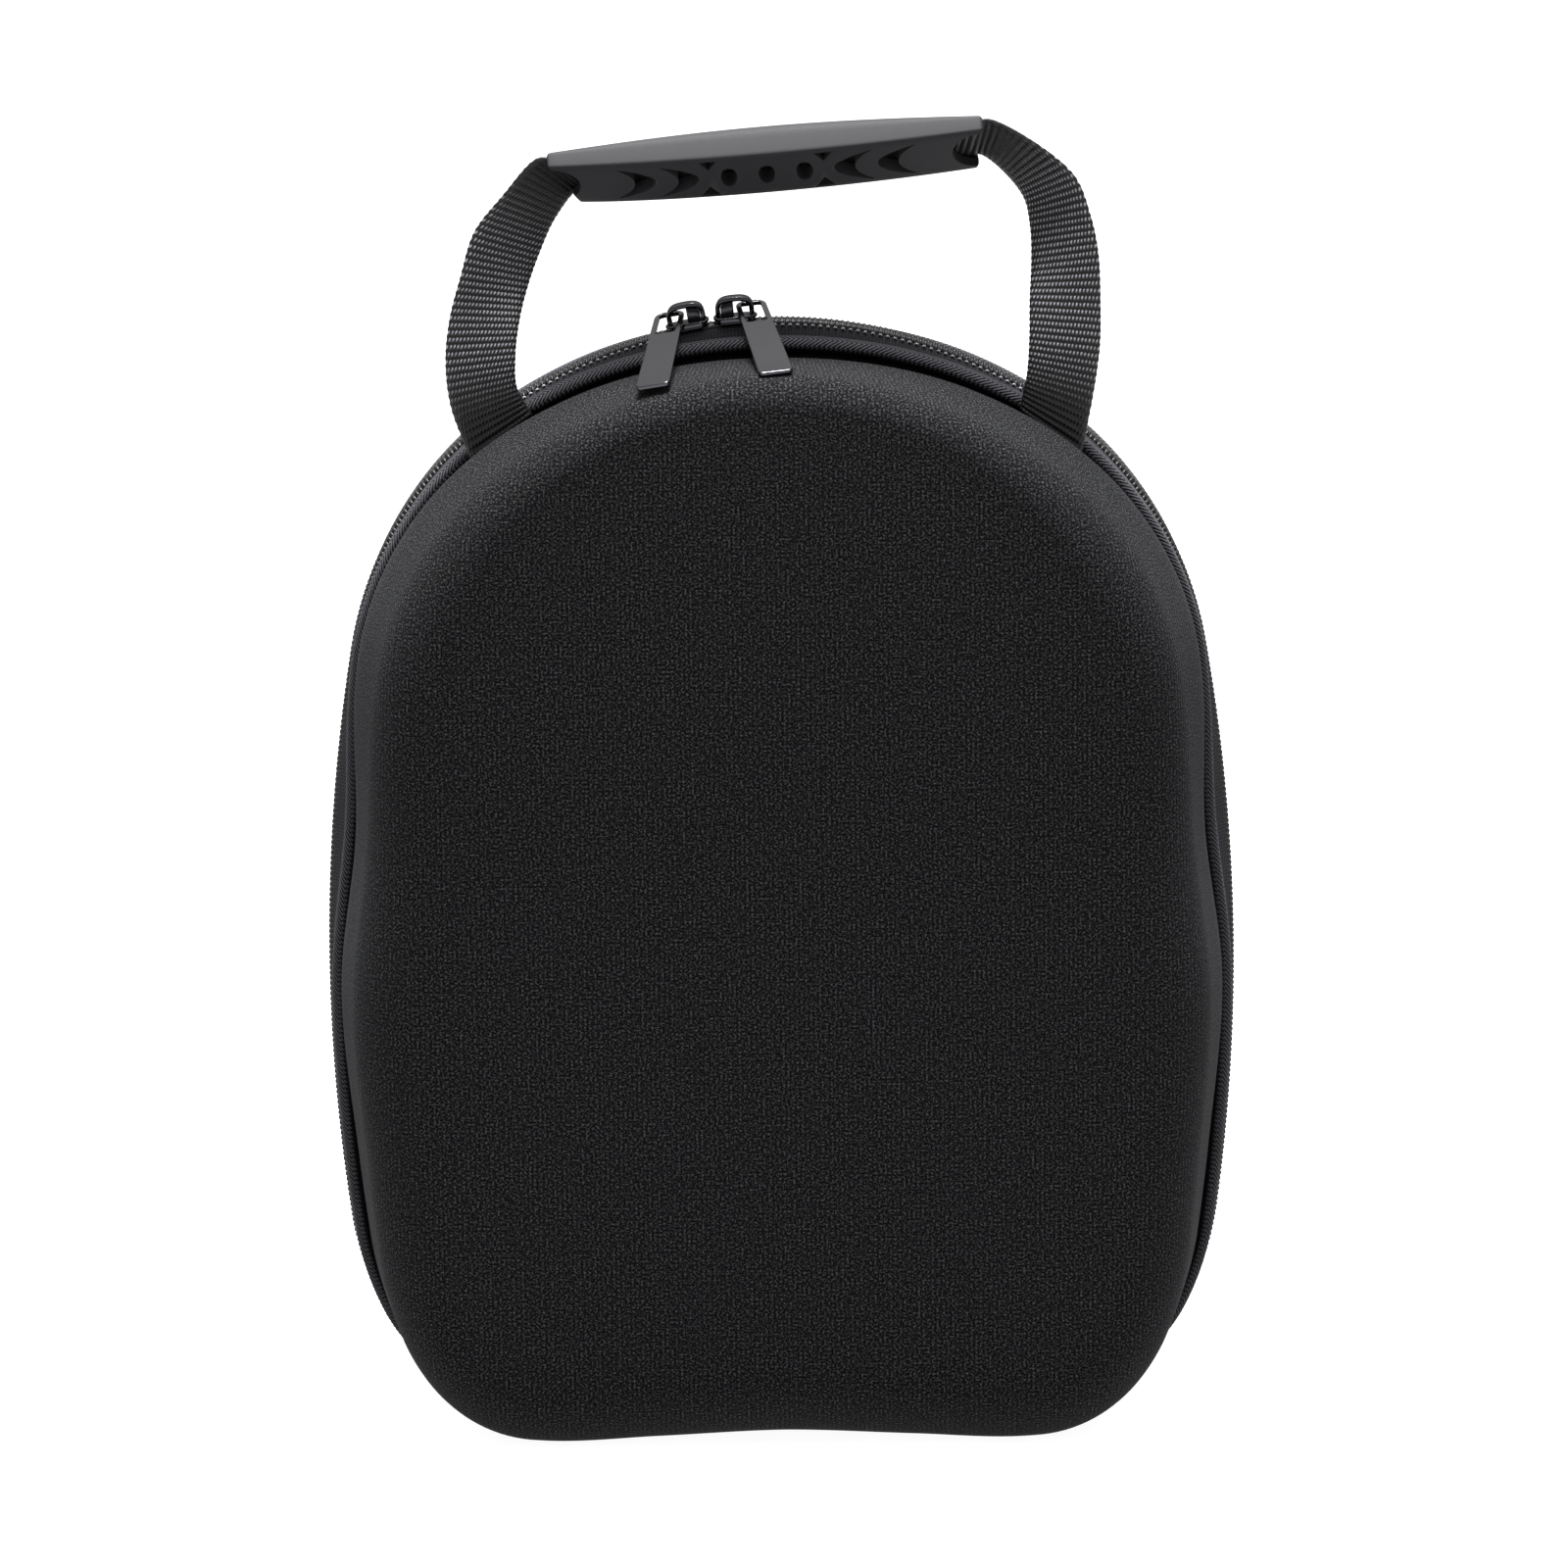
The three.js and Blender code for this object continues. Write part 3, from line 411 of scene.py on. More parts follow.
# One side of the wall from the parting edge to the face: inset eased from seam to belly with a dip at the
# seam, a lean that sets in by a falling exponential, a round edge that starts at the lean, then the leaning
# face, whose bulge falls from its centre by the cube of the distance.
def shellRings(stations, inward, filletSteps, faceRings, edgeColumn):
    plan = halfShell
    seam, belly, edge = (sectionAt(c, stations) for c in ("seam", "belly", edgeColumn))
    rim = rimPoints(stations, belly + edge, 0.0)
    face = faceDepth(rim[:, 2])
    rows = [(seam, np.full_like(seam, depth)) for depth in plan["lip"]]
    dip = plan["grooveDip"] * (inward == 0)
    swell = plan["bellyDepth"] - plan["grooveDepth"]
    rows += [(seam + (belly - seam) * t * t * (3 - 2 * t) + dip * (1 - t) ** 5,
              np.full_like(seam, plan["grooveDepth"] + swell * t)) for t in np.linspace(0, 1, 13)]
    draft = np.radians(sectionAt("draft", stations))
    run = face - edge * (1 - np.sin(draft)) - plan["bellyDepth"]
    centre = belly + run * np.tan(draft) + edge * np.cos(draft) - inward
    soft = plan["draftEase"]
    lean = lambda t: (t - soft * (1 - np.exp(-t / soft))) / (1 - soft)
    rows += [(belly + run * np.tan(draft) * lean(t), plan["bellyDepth"] + run * t)
             for t in plan["wallRows"]]
    reach = np.hypot(rim[:, 0], rim[:, 2] - plan["faceCentre"])
    turn = np.pi / 2 - np.arctan(3 * plan["faceBulge"] / reach + plan["faceLean"] * outlineAt(stations)[3])
    for share in np.linspace(0, 1, filletSteps + 1):
        angle = draft + (turn - draft) * share
        rows.append((centre - (edge - inward) * np.cos(angle),
                     face - inward - (edge - inward) * (1 - np.sin(angle))))
    rings = np.stack([rimPoints(stations, inset + inward, -depth) for inset, depth in rows])
    rings[..., 2] = np.maximum(rings[..., 2], inward)
    share = np.linspace(1, 0, faceRings + 2)[1:-1, None]
    last = rings[-1]
    z = plan["faceCentre"] + (last[:, 2] - plan["faceCentre"]) * share
    rest = (inward - last[:, 1] - faceDepth(last[:, 2])) * share**3
    y = inward - faceDepth(z) - plan["faceBulge"] * (1 - share**3) - rest
    flat = np.stack([last[:, 0] * share, y, z], -1)
    return np.concatenate([rings, flat]), len(rings) - 1


# Half shell with its inside; the pattern runs straight up the face and on over the edge by arc length.
def halfShellPart(side):
    plan = halfShell
    stations = np.linspace(-halfLength, halfLength, plan["stations"] + 1)
    edgeColumn = "edge" if side < 0 else "rear"
    outside, rim = shellRings(stations, 0.0, 16, plan["faceRings"], edgeColumn)
    inside, _ = shellRings(stations, float(plan["wall"]), 6, 6, edgeColumn)
    _, _, outX, outZ = outlineAt(stations)
    step = np.linalg.norm(np.diff(outside[:rim + 1], axis=0), axis=-1)
    arc = np.concatenate([np.cumsum(step[::-1], axis=0)[::-1], np.zeros((1, len(stations)))])
    pattern = outside[..., [0, 2]].copy()
    pattern[:rim + 1] = outside[rim][None][..., [0, 2]] + arc[..., None] * np.stack([outX, outZ], -1)
    points = np.concatenate([inside[::-1], outside])[:, :-1]
    pattern = np.concatenate([inside[::-1][..., [0, 2]], pattern])
    depth = faceDepth(plan["faceCentre"]) + plan["faceBulge"]
    poles = [np.array([0.0, -d, plan["faceCentre"]]) for d in (depth - plan["wall"], depth)]
    turned = np.array([1.0, -side, 1.0])
    return gridPart(points * turned, pattern, True, False, poles[0] * turned, poles[1] * turned)


for name, side in (("front", -1.0), ("back", 1.0)):
    makePiece(name + "_shell_cloth", [halfShellPart(side)], shellCloth,
              replaces=[name + "_shell"])


rolledBinding = {
    "middle": 11, "halfWidth": 3.3, "halfHeight": 1.9,
    "seat": 0.3,           # by which it stands off the seam
    "squareness": 2.4,     # 2 is an ellipse
    "stations": 2600, "around": 34,
    "crowding": 0.45,      # by which points crowd to the side that shows
    "twillPitch": 1.3, "twillBand": 2.6, "twillRise": 0.26,
    "twillRest": 0.6,      # share of a cord's height at which the roll keeps its girth
}


# Binding roll: a squared ellipse carried round the rim, raised in slanting cords that turn back in bands.
def bindingPart(side):
    plan = rolledBinding
    along = np.linspace(-halfLength, halfLength, plan["stations"] + 1)[:, None]
    share = np.linspace(0, 2 * np.pi, plan["around"] + 1)[None]
    angle = share - plan["crowding"] * (np.sin(share - np.pi / 2) + 1)
    bend = lambda v: np.sign(v) * np.abs(v) ** (2 / plan["squareness"])
    girth = angle * (plan["halfWidth"] + plan["halfHeight"]) / 2
    band = np.abs((girth / plan["twillBand"]) % 2 - 1) * plan["twillBand"]
    cord = np.abs(np.sin(np.pi * (along + band) / plan["twillPitch"]))
    grow = 1 + plan["twillRise"] * (cord - plan["twillRest"]) / plan["halfHeight"]
    middle = sectionAt("seam", along) - plan["seat"] - plan["halfHeight"]
    inset = middle - plan["halfHeight"] * grow * bend(np.sin(angle))
    depth = side * (plan["middle"] + plan["halfWidth"] * grow * bend(np.cos(angle)))
    points = rimPoints(np.broadcast_to(along, inset.shape), inset, depth)
    pattern = np.stack(np.broadcast_arrays(along, girth), -1)
    return gridPart(points[:-1, :-1], pattern, True, True)


bindingCloth = herringbonePolyester()
for name, side in (("front", -1.0), ("back", 1.0)):
    makePiece(name + "_binding_roll", [bindingPart(side)], bindingCloth,
              replaces=[name + "_binding"])


zipLine = {
    "tapeInner": 3.3, "tapeOuter": 7.4, "tapeTop": 1.3, "tapeThickness": 0.8, "tapeSag": 0.25,
    "tapeLap": 2.4,                 # by which its low edge stands above the seam
    "toothPitch": 1.45, "toothRadius": 0.42, "toothSlim": 0.95,
    # Path of one turn of the coil: along the zip, depth from its middle and inset.
    "toothPath": [(0, 2.9, 2.0), (0, 2.65, 1.0), (0.02, 2.0, 0.5), (0.05, 0.9, 0.44),
                  (0.1, -0.1, 0.5), (0.12, -0.55, 0.9), (0.12, -0.5, 1.6)],
    "coreFlank": [(0.42, 2.2), (1.1, 2.6), (2.1, 2.7)],     # inset and depth of the cord inside the coil
    "stitchPitch": 2.0, "stitchLength": 1.1, "stitchRadius": 0.3, "stitchDepth": 3.75, "stitchInset": 1.2,
    "stitchFlat": 1.3, "stitchTip": 0.08,
    "stitchGap": (-29.5, -3.5),     # none under the sliders
    "stitchEnd": 74,                # nor beyond the straps
    "hingeHalfWidth": 7.3, "hingeTop": 2.3, "hingeThickness": 1.2, "hingeGap": 0.6, "hingeEdge": 0.35,
}


# Flat strip along the rim from a closed section of corners (inset, depth) given per station.
def stripPart(along, corners):
    inset, depth = (np.stack(np.broadcast_arrays(*c), -1) for c in zip(*corners))
    closed = lambda a: np.concatenate([a, a[..., :1]], -1)
    path = np.broadcast_to(along[:, None], inset.shape)
    points = rimPoints(path, inset, depth)
    across = np.cumsum(np.hypot(np.diff(closed(inset)), np.diff(closed(depth))), -1)
    across = np.concatenate([across[:, :1] * 0, across], -1)
    pattern = np.stack(np.broadcast_arrays(along[:, None], across), -1)
    return gridPart(points, pattern, True, False, points[0].mean(0), points[-1].mean(0))


# Zip tape: from beside the coil down to the binding, sagging a little between them.
def tapePart(side):
    plan = zipLine
    along = np.linspace(-caseOutline["zipEnd"], caseOutline["zipEnd"], 500)
    fall = sectionAt("seam", along) - plan["tapeLap"] - plan["tapeTop"]
    wide = plan["tapeOuter"] - plan["tapeInner"]
    over = [(plan["tapeTop"] + fall * t + plan["tapeSag"] * np.sin(np.pi * t),
             np.full_like(along, side * (plan["tapeInner"] + wide * t))) for t in np.linspace(0, 1, 8)]
    under = [(inset + plan["tapeThickness"], depth) for inset, depth in over[::-1]]
    return stripPart(along, over + under)


# Coil: each turn is a round thread that rises from the tape, lies across the middle and hooks down.
def coilParts():
    plan = zipLine
    path = np.array(plan["toothPath"])
    heading = np.gradient(path, axis=0)
    heading /= np.linalg.norm(heading, axis=1)[:, None]
    side = np.array([1.0, 0, 0])
    lift = np.cross(heading, side)
    turn = np.linspace(0, 2 * np.pi, 7)[None, :, None]
    ring = np.cos(turn) * side * plan["toothSlim"] + np.sin(turn) * lift[:, None]
    ring = path[:, None] + plan["toothRadius"] * ring
    pattern = np.zeros(ring.shape[:2] + (2,))
    verts, faces, uv = gridPart(ring[:, :-1], pattern, True, False, path[0], path[-1])
    half = caseOutline["zipEnd"] - 1
    places = np.arange(-half, half, plan["toothPitch"])
    parts = []
    for sign, shift in ((-1.0, 0.0), (1.0, plan["toothPitch"] / 2)):
        where = places[:, None] + shift + verts[None, :, 0]
        placed = rimPoints(where, verts[None, :, 2] + where * 0, sign * verts[None, :, 1] + where * 0)
        copies = repeatPart(placed, (verts, faces, uv))
        parts.append(facingOut(*copies))
    along = np.linspace(-caseOutline["zipEnd"], caseOutline["zipEnd"], 300)
    flat = along * 0
    flank = plan["coreFlank"]
    corners = flank + [(i, -y) for i, y in flank[::-1]]
    return parts + [stripPart(along, [(flat + i, flat + y) for i, y in corners])]


# One stitch: a round thread that dips at both ends by the fourth power; copies follow the tape at the stitch
# pitch, between the straps.
def stitchPart(side):
    plan = zipLine
    length, thick = plan["stitchLength"], plan["stitchRadius"]
    share = np.linspace(-1, 1, 7)[:, None]
    turn = np.linspace(0, 2 * np.pi, 7)[None]
    radius = thick * np.sqrt(np.maximum(plan["stitchTip"], 1 - share**4))
    along = np.broadcast_to(share * length / 2, (7, 7))
    up = radius * np.sin(turn) - thick * share**4
    local = np.stack([along, radius * np.cos(turn) * plan["stitchFlat"], up], -1)
    pattern = np.stack(np.broadcast_arrays(along, turn * thick), -1)
    ends = [np.array([length / 2 * s, 0, -thick]) for s in (-1, 1)]
    verts, faces, uv = gridPart(local[:, :-1], pattern, True, False, *ends)
    places = np.arange(-plan["stitchEnd"], plan["stitchEnd"], plan["stitchPitch"])
    low, high = plan["stitchGap"]
    where = places[(places < low) | (places > high)][:, None] + verts[None, :, 0]
    depth = side * (plan["stitchDepth"] + verts[None, :, 1])
    placed = rimPoints(where, plan["stitchInset"] - verts[None, :, 2], depth)
    return repeatPart(placed, (verts, faces, uv))


# Hinge tape: a plain band round the foot from one end of the zip to the other, with soft edges.
def hingePart():
    plan = zipLine
    start = caseOutline["zipEnd"] + plan["hingeGap"]
    along = np.linspace(start, 2 * halfLength - start, 260)
    along = np.where(along > halfLength, along - 2 * halfLength, along)
    wide, top, thick = plan["hingeHalfWidth"], plan["hingeTop"], plan["hingeThickness"]
    flat = along * 0
    edge = plan["hingeEdge"]
    corners = [(flat + top + edge * abs(y) ** 6, flat + wide * y) for y in np.linspace(-1, 1, 12)]
    corners += [(flat + top + thick, flat + wide * y) for y in np.linspace(1, -1, 4)]
    inset, depth = (np.stack(c, -1) for c in zip(*corners))
    points = rimPoints(np.broadcast_to(along[:, None], inset.shape), inset, depth)
    travel = np.linspace(start, 2 * halfLength - start, 260)[:, None]
    across = np.linspace(0, 4 * wide, inset.shape[1] + 1)[None]
    pattern = np.stack(np.broadcast_arrays(travel, across), -1)
    return gridPart(points, pattern, True, False, points[0].mean(0), points[-1].mean(0))


for name, side in (("front", -1.0), ("back", 1.0)):
    makePiece(name + "_zip_tape_cloth", [tapePart(side)], tapeCloth,
              replaces=[name + "_zip_tape"], sharpAngle=50)
    makePiece(name + "_coil_stitches", [stitchPart(side)], sewingThread)
makePiece("zip_coil_turns", coilParts(), coilNylon, replaces=["zip_coil"])
makePiece("hinge_tape_cloth", [hingePart()], tapeCloth, replaces=["hinge_tape"], sharpAngle=50)


zipSlider = {
    "length": 11.6, "halfWidth": 4.2, "tailShare": 0.64, "low": 0.3, "high": 1.1, "round": 0.35,
    "corner": 3.3, "lowEdge": 0.25, "crown": 0.3,
    "skirtDrop": 1.1, "skirtTop": 0.6, "skirtInset": 0.62, "skirtHalf": (3.6, 0.36), "skirtShift": 0.3,
    "skirtCorner": 0.22, "skirtEdge": 0.15, "skirtSlope": 0.8,
    "halfSpan": 5.1, "bandThick": 1.3, "bandHalfWidth": 1.5, "bandFlare": 0.6, "foot": 0.8, "spring": 2.4,
    "top": 6.2, "squareness": 3, "bandCorner": 0.35, "legRise": 1.6,
    # Block of the lock spring under the arch.
    "lockHalfWidth": 1.1, "lockEnd": 0.3, "lockGap": 0.12, "lockCorner": 0.3,
}
zipPull = {
    "halfWidth": 4, "taper": 0.125, "length": 45, "thickness": 1.2, "round": 0.3,
    "arm": 1.4, "bar": 1.4, "window": 12, "windowCorner": 0.8, "corner": 1.2, "headCorner": 2.8,
    "pivotBack": 2.65, "pivotUp": 3.3, "splay": 7.7,
}
# Distance along the zip, the way each pull hooks, and how far it droops in degrees.
sliderPlaces = {"left": (-22.9, -1, 11.7), "right": (-10.3, 1, 13.1)}


# Turn by an angle in degrees about one axis, as a matrix.
def turnAbout(axis, angle):
    c, s = np.cos(np.radians(angle)), np.sin(np.radians(angle))
    a, b = [(1, 2), (2, 0), (0, 1)][axis]
    matrix = np.eye(3)
    matrix[a, a] = matrix[b, b] = c
    matrix[a, b], matrix[b, a] = -s, s
    return matrix


# Frame of the zip at a distance along it: columns along the zip, back and outward, and its origin.
def zipFrame(along):
    x, z, outX, outZ = (float(v) for v in outlineAt(np.array(along)))
    return np.array([[outZ, 0, outX], [0, 1, 0], [-outX, 0, outZ]]), np.array([x, 0, z])


# Rounded rectangle as a loop of points, corner arc by corner arc; one radius, or one each for the far and the
# near end.
def roundedLoop(centre, halfX, halfY, corners, steps=6):
    angle = np.linspace(0, np.pi / 2, steps)
    arcs = []
    for k, (sx, sy) in enumerate(((1, 1), (-1, 1), (-1, -1), (1, -1))):
        turn = angle + k * np.pi / 2
        corner = np.broadcast_to(corners, 2)[k // 2]
        arcs.append(np.stack([centre[0] + sx * (halfX - corner) + corner * np.cos(turn),
                              centre[1] + sy * (halfY - corner) + corner * np.sin(turn)], -1))
    return np.concatenate(arcs)


# A closed block from a stack of loops, each end closed on a point; bare metal needs no pattern.
def stackPart(rings, first=None, last=None):
    rings = np.stack(rings)
    poles = [r.mean(0) if p is None else p for p, r in ((first, rings[0]), (last, rings[-1]))]
    return gridPart(rings, np.zeros((len(rings), rings.shape[1] + 1, 2)), True, False, *poles)


# Slider plate: a loop with round corners that narrows to its tail, its upper edge rolled by a quarter turn.
def sliderPlate(hook):
    plan = zipSlider
    low, high, roll = plan["low"], plan["high"], plan["round"]
    levels = [(plan["lowEdge"], low), (0.0, low + plan["lowEdge"])]
    levels += [(roll * (1 - np.cos(a)), high - roll * (1 - np.sin(a))) for a in np.linspace(0, np.pi / 2, 5)]
    levels += [(roll + plan["crown"], high)]
    rings = []
    for inset, z in levels:
        half = [size - inset for size in (plan["length"] / 2, plan["halfWidth"], plan["corner"])]
        loop = roundedLoop((0, 0), *half)
        tail = 1 - (1 - plan["tailShare"]) * np.clip(hook * loop[:, 0] / plan["length"] + 0.5, 0, 1)
        rings.append(np.column_stack([loop[:, 0], loop[:, 1] * tail, np.full(len(loop), z)]))
    return stackPart(rings, (0, 0, low), (0, 0, high))


# One side skirt over the tape: a bar with round corners, a little smaller at its low edge.
def sliderSkirt(hook, sign):
    plan = zipSlider
    reach, wide = plan["skirtHalf"]
    centre = (-hook * plan["skirtShift"], sign * (plan["halfWidth"] - plan["skirtInset"]))
    edge, drop = plan["skirtEdge"], plan["skirtDrop"]
    rings = []
    for inset, z in ((edge, -drop), (0, edge - drop), (0, plan["skirtTop"])):
        loop = roundedLoop(centre, reach - inset, wide - inset * plan["skirtSlope"], plan["skirtCorner"])
        rings.append(np.column_stack([loop, np.full(len(loop), z)]))
    return stackPart(rings)


# Bridge: a band with round corners carried over a squared arch, which widens by the square of its rise.
def sliderBridge():
    plan = zipSlider
    inner = plan["bandThick"] / 2
    leg, rise = plan["halfSpan"] - inner, plan["top"] - inner - plan["spring"]
    turn = np.linspace(np.pi, 0, 31)
    bend = lambda v: np.sign(v) * np.abs(v) ** (2 / plan["squareness"])
    arch = np.stack([leg * bend(np.cos(turn)), turn * 0, plan["spring"] + rise * bend(np.sin(turn))], -1)
    feet = [np.array([[s * leg, 0, plan["foot"] + r] for r in (0, plan["legRise"])]) for s in (-1, 1)]
    path = np.concatenate([feet[0], arch, feet[1][::-1]])
    heading = np.gradient(path, axis=0)
    heading /= np.linalg.norm(heading, axis=1)[:, None]
    back = np.array([0, 1.0, 0])
    out = np.cross(back, heading)
    loop = roundedLoop((0, 0), plan["bandHalfWidth"], inner, plan["bandCorner"], 4)
    climb = np.clip((path[:, 2] - plan["spring"]) / rise, 0, 1)
    wide = (1 + plan["bandFlare"] / plan["bandHalfWidth"] * climb**2)[:, None, None]
    band = path[:, None] + loop[None, :, :1] * wide * back + loop[None, :, 1:] * out[:, None]
    return stackPart(band, path[0], path[-1])


# Block of the lock spring: loops that fill the free half of the arch up to its squared curve, less a gap.
def sliderLock(hook):
    plan = zipSlider
    gap, power = plan["lockGap"], plan["squareness"]
    clear, rise = plan["halfSpan"] - plan["bandThick"], plan["top"] - plan["bandThick"] - plan["spring"]
    reach = np.linspace(clear - gap, plan["lockEnd"], 9)
    roof = plan["spring"] + rise * (1 - (reach / clear) ** power) ** (1 / power)
    rings = []
    for x, h in zip(reach, (roof - gap - plan["foot"]) / 2):
        loop = roundedLoop((0, plan["foot"] + h), plan["lockHalfWidth"], h, plan["lockCorner"], 3)
        rings.append(np.column_stack([np.full(len(loop), -hook * x), loop]))
    return stackPart(rings)


# Slider: plate, two skirts, bridge and lock block in the zip's own frame.
def sliderParts(hook):
    return [sliderPlate(hook), sliderSkirt(hook, -1), sliderSkirt(hook, 1), sliderBridge(), sliderLock(hook)]


# Pull: a flat plate with a window for the bridge, both edges rolled over by a small radius.
def pullPart():
    plan = zipPull
    half, thick, r = plan["halfWidth"], plan["thickness"] / 2, plan["round"]
    back, tip = -plan["bar"] / 2, plan["length"]
    hole = (0, plan["bar"] / 2 + plan["window"] / 2)
    ends = np.array([plan["corner"], plan["headCorner"]])
    outer = lambda i: roundedLoop((0, (back + tip) / 2), half - i, (tip - back) / 2 - i, ends - i)
    space = np.array([half - plan["arm"], plan["window"] / 2, plan["windowCorner"]])
    inner = lambda i: roundedLoop(hole, *(space + i))
    quarter = [(r * (1 - np.cos(a)), thick - r * (1 - np.sin(a))) for a in np.linspace(0, np.pi / 2, 5)]
    edge = quarter + [(r * 1.4, thick)]
    rows = [(outer, i, z) for i, z in edge] + [(inner, i, z) for i, z in edge[::-1]]
    rows += [(inner, i, -z) for i, z in edge] + [(outer, i, -z) for i, z in edge[::-1]]
    rings = np.stack([np.column_stack([loop(i), np.full(24, z)]) for loop, i, z in rows])
    rings[..., 0] *= 1 + plan["taper"] * rings[..., 1] / plan["length"]
    uv = np.zeros((len(rings) + 1, rings.shape[1] + 1, 2))
    return gridPart(rings, uv, True, True)


for side, (along, hook, droop) in sliderPlaces.items():
    turn, origin = zipFrame(along)
    placed = [(v @ turn.T + origin, f, uv) for v, f, uv in sliderParts(hook)]
    makePiece(side + "_slider_cast", placed, blackNickel, replaces=[side + "_slider"])
    leg = np.array([hook * (zipSlider["halfSpan"] - zipSlider["bandThick"] / 2), 0, 0])
    splay = turnAbout(2, hook * zipPull["splay"])
    hang = turnAbout(0, droop) @ turnAbout(2, 180)
    pivot = splay @ np.array([0, zipPull["pivotBack"], zipPull["pivotUp"]]) + leg
    verts, faces, uv = pullPart()
    verts = (verts @ (splay @ hang).T + pivot) @ turn.T + origin
    makePiece(side + "_pull_plate", [(verts, faces, uv)], blackNickel,
              body=side + "_pull", replaces=[side + "_pull"])


gripBody = {
    "halfLength": 56.8, "place": (-2, -6.5, 338.2), "tilt": 4.4, "lean": 37.4,
    "halfWidth": 11, "endHalfWidth": 10.7, "under": 5.5, "endUnder": 3.6, "over": 5.6, "endOver": 2.2,
    "leftSlant": 8, "rightSlant": 2, "tunnelGap": 0.4, "tunnelCorner": 0.5, "endRound": 1.0, "chamfer": 0.25,
    "topSquareness": 2.6, "lowSquareness": 14,
    "holes": (-9.8, 0, 9.8), "holeHalf": (2.2, 5),
    "moons": (22.2, 33.5), "moonReach": 8, "moonBulge": 9.5, "moonHollow": 4.6, "moonHorn": 0.6,
    "crosses": 14.9, "crossHalf": 2.4, "crossOuter": 9.2, "crossInner": 4.6,
    "notchDepth": 8.5, "notchHalf": 9, "notchRound": 7.5, "notchPast": 4,
    # Levels of the cutters: inside the tunnel, just under the skin and clear below it; reach of the tunnel.
    "cutTop": 0.2, "cutSkin": 0.02, "cutBelow": 3, "tunnelReach": 70, "crossFlare": 1.3,
}
handleStrap = {
    "width": 18.6, "thickness": 1.7, "rootInset": 4.3, "rootDepth": 15.55, "rootInner": 69, "rootOuter": 90,
    # Outer edge then inner edge of the strap, from each root up to the grip.
    "left": [(-84.5, -15.6, 274.7, -67.2, -15.6, 279.5), (-85.6, -16, 286.9, -67.5, -15, 288),
             (-84.3, -15.5, 297.9, -66.4, -13, 296.6), (-81.3, -15.5, 308.7, -64.3, -9.2, 304.7),
             (-77.4, -15, 320.6, -60.9, -6.2, 313.8), (-70, -14.4, 329.8, -56.8, -2.4, 322)],
    "right": [(82.6, -15.6, 276.6, 65.3, -15.6, 281.4), (84.2, -16, 288.7, 66, -15, 290.6),
              (84.4, -15.5, 300.5, 66.2, -13, 300.7), (83.8, -15.5, 313.4, 66.8, -9.2, 310.1),
              (81.8, -15, 323.2, 66.6, -6, 319), (77, -14.4, 334.4, 64.6, -2, 326.8)],
    "inGrip": [(-58.8, -49.3), (-54.8, -45.3), (-28, -25), (28, 27), (54.8, 51.8), (58.8, 55.8)],
    "ribPitch": 1.75, "floats": 19, "floatLean": -0.28, "ribRise": 0.22, "floatRise": 0.26,
    "thinEdge": 0.7,       # share of the thickness lost at the edges
    "scallop": 0.018,      # share of the half width by which the edges draw in between the ribs
    "hidden": 45,          # the weave is left flat this far to each side inside the grip
}
gripTurn = turnAbout(1, -gripBody["tilt"]) @ turnAbout(0, -gripBody["lean"])
gripPlace = np.array(gripBody["place"], float)


# Points through a row of knots at even shares between them: a cubic whose slopes follow the square root of
# each gap.
def throughKnots(knots, at):
    knots = np.vstack([2 * knots[0] - knots[1], knots, 2 * knots[-1] - knots[-2]])
    gap = np.sqrt(np.linalg.norm(np.diff(knots, axis=0), axis=1))
    i = np.clip(at.astype(int), 0, len(knots) - 4)
    t = (at - i)[:, None]
    p0, p1, p2, p3 = (knots[i + k] for k in range(4))
    d0, d1, d2 = (gap[i + k][:, None] for k in range(3))
    m1 = ((p1 - p0) / d0 - (p2 - p0) / (d0 + d1) + (p2 - p1) / d1) * d1
    m2 = ((p2 - p1) / d1 - (p3 - p1) / (d1 + d2) + (p3 - p2) / d2) * d1
    return (p1 + m1 * t + (3 * (p2 - p1) - 2 * m1 - m2) * t**2 + (2 * (p1 - p2) + m1 + m2) * t**3)


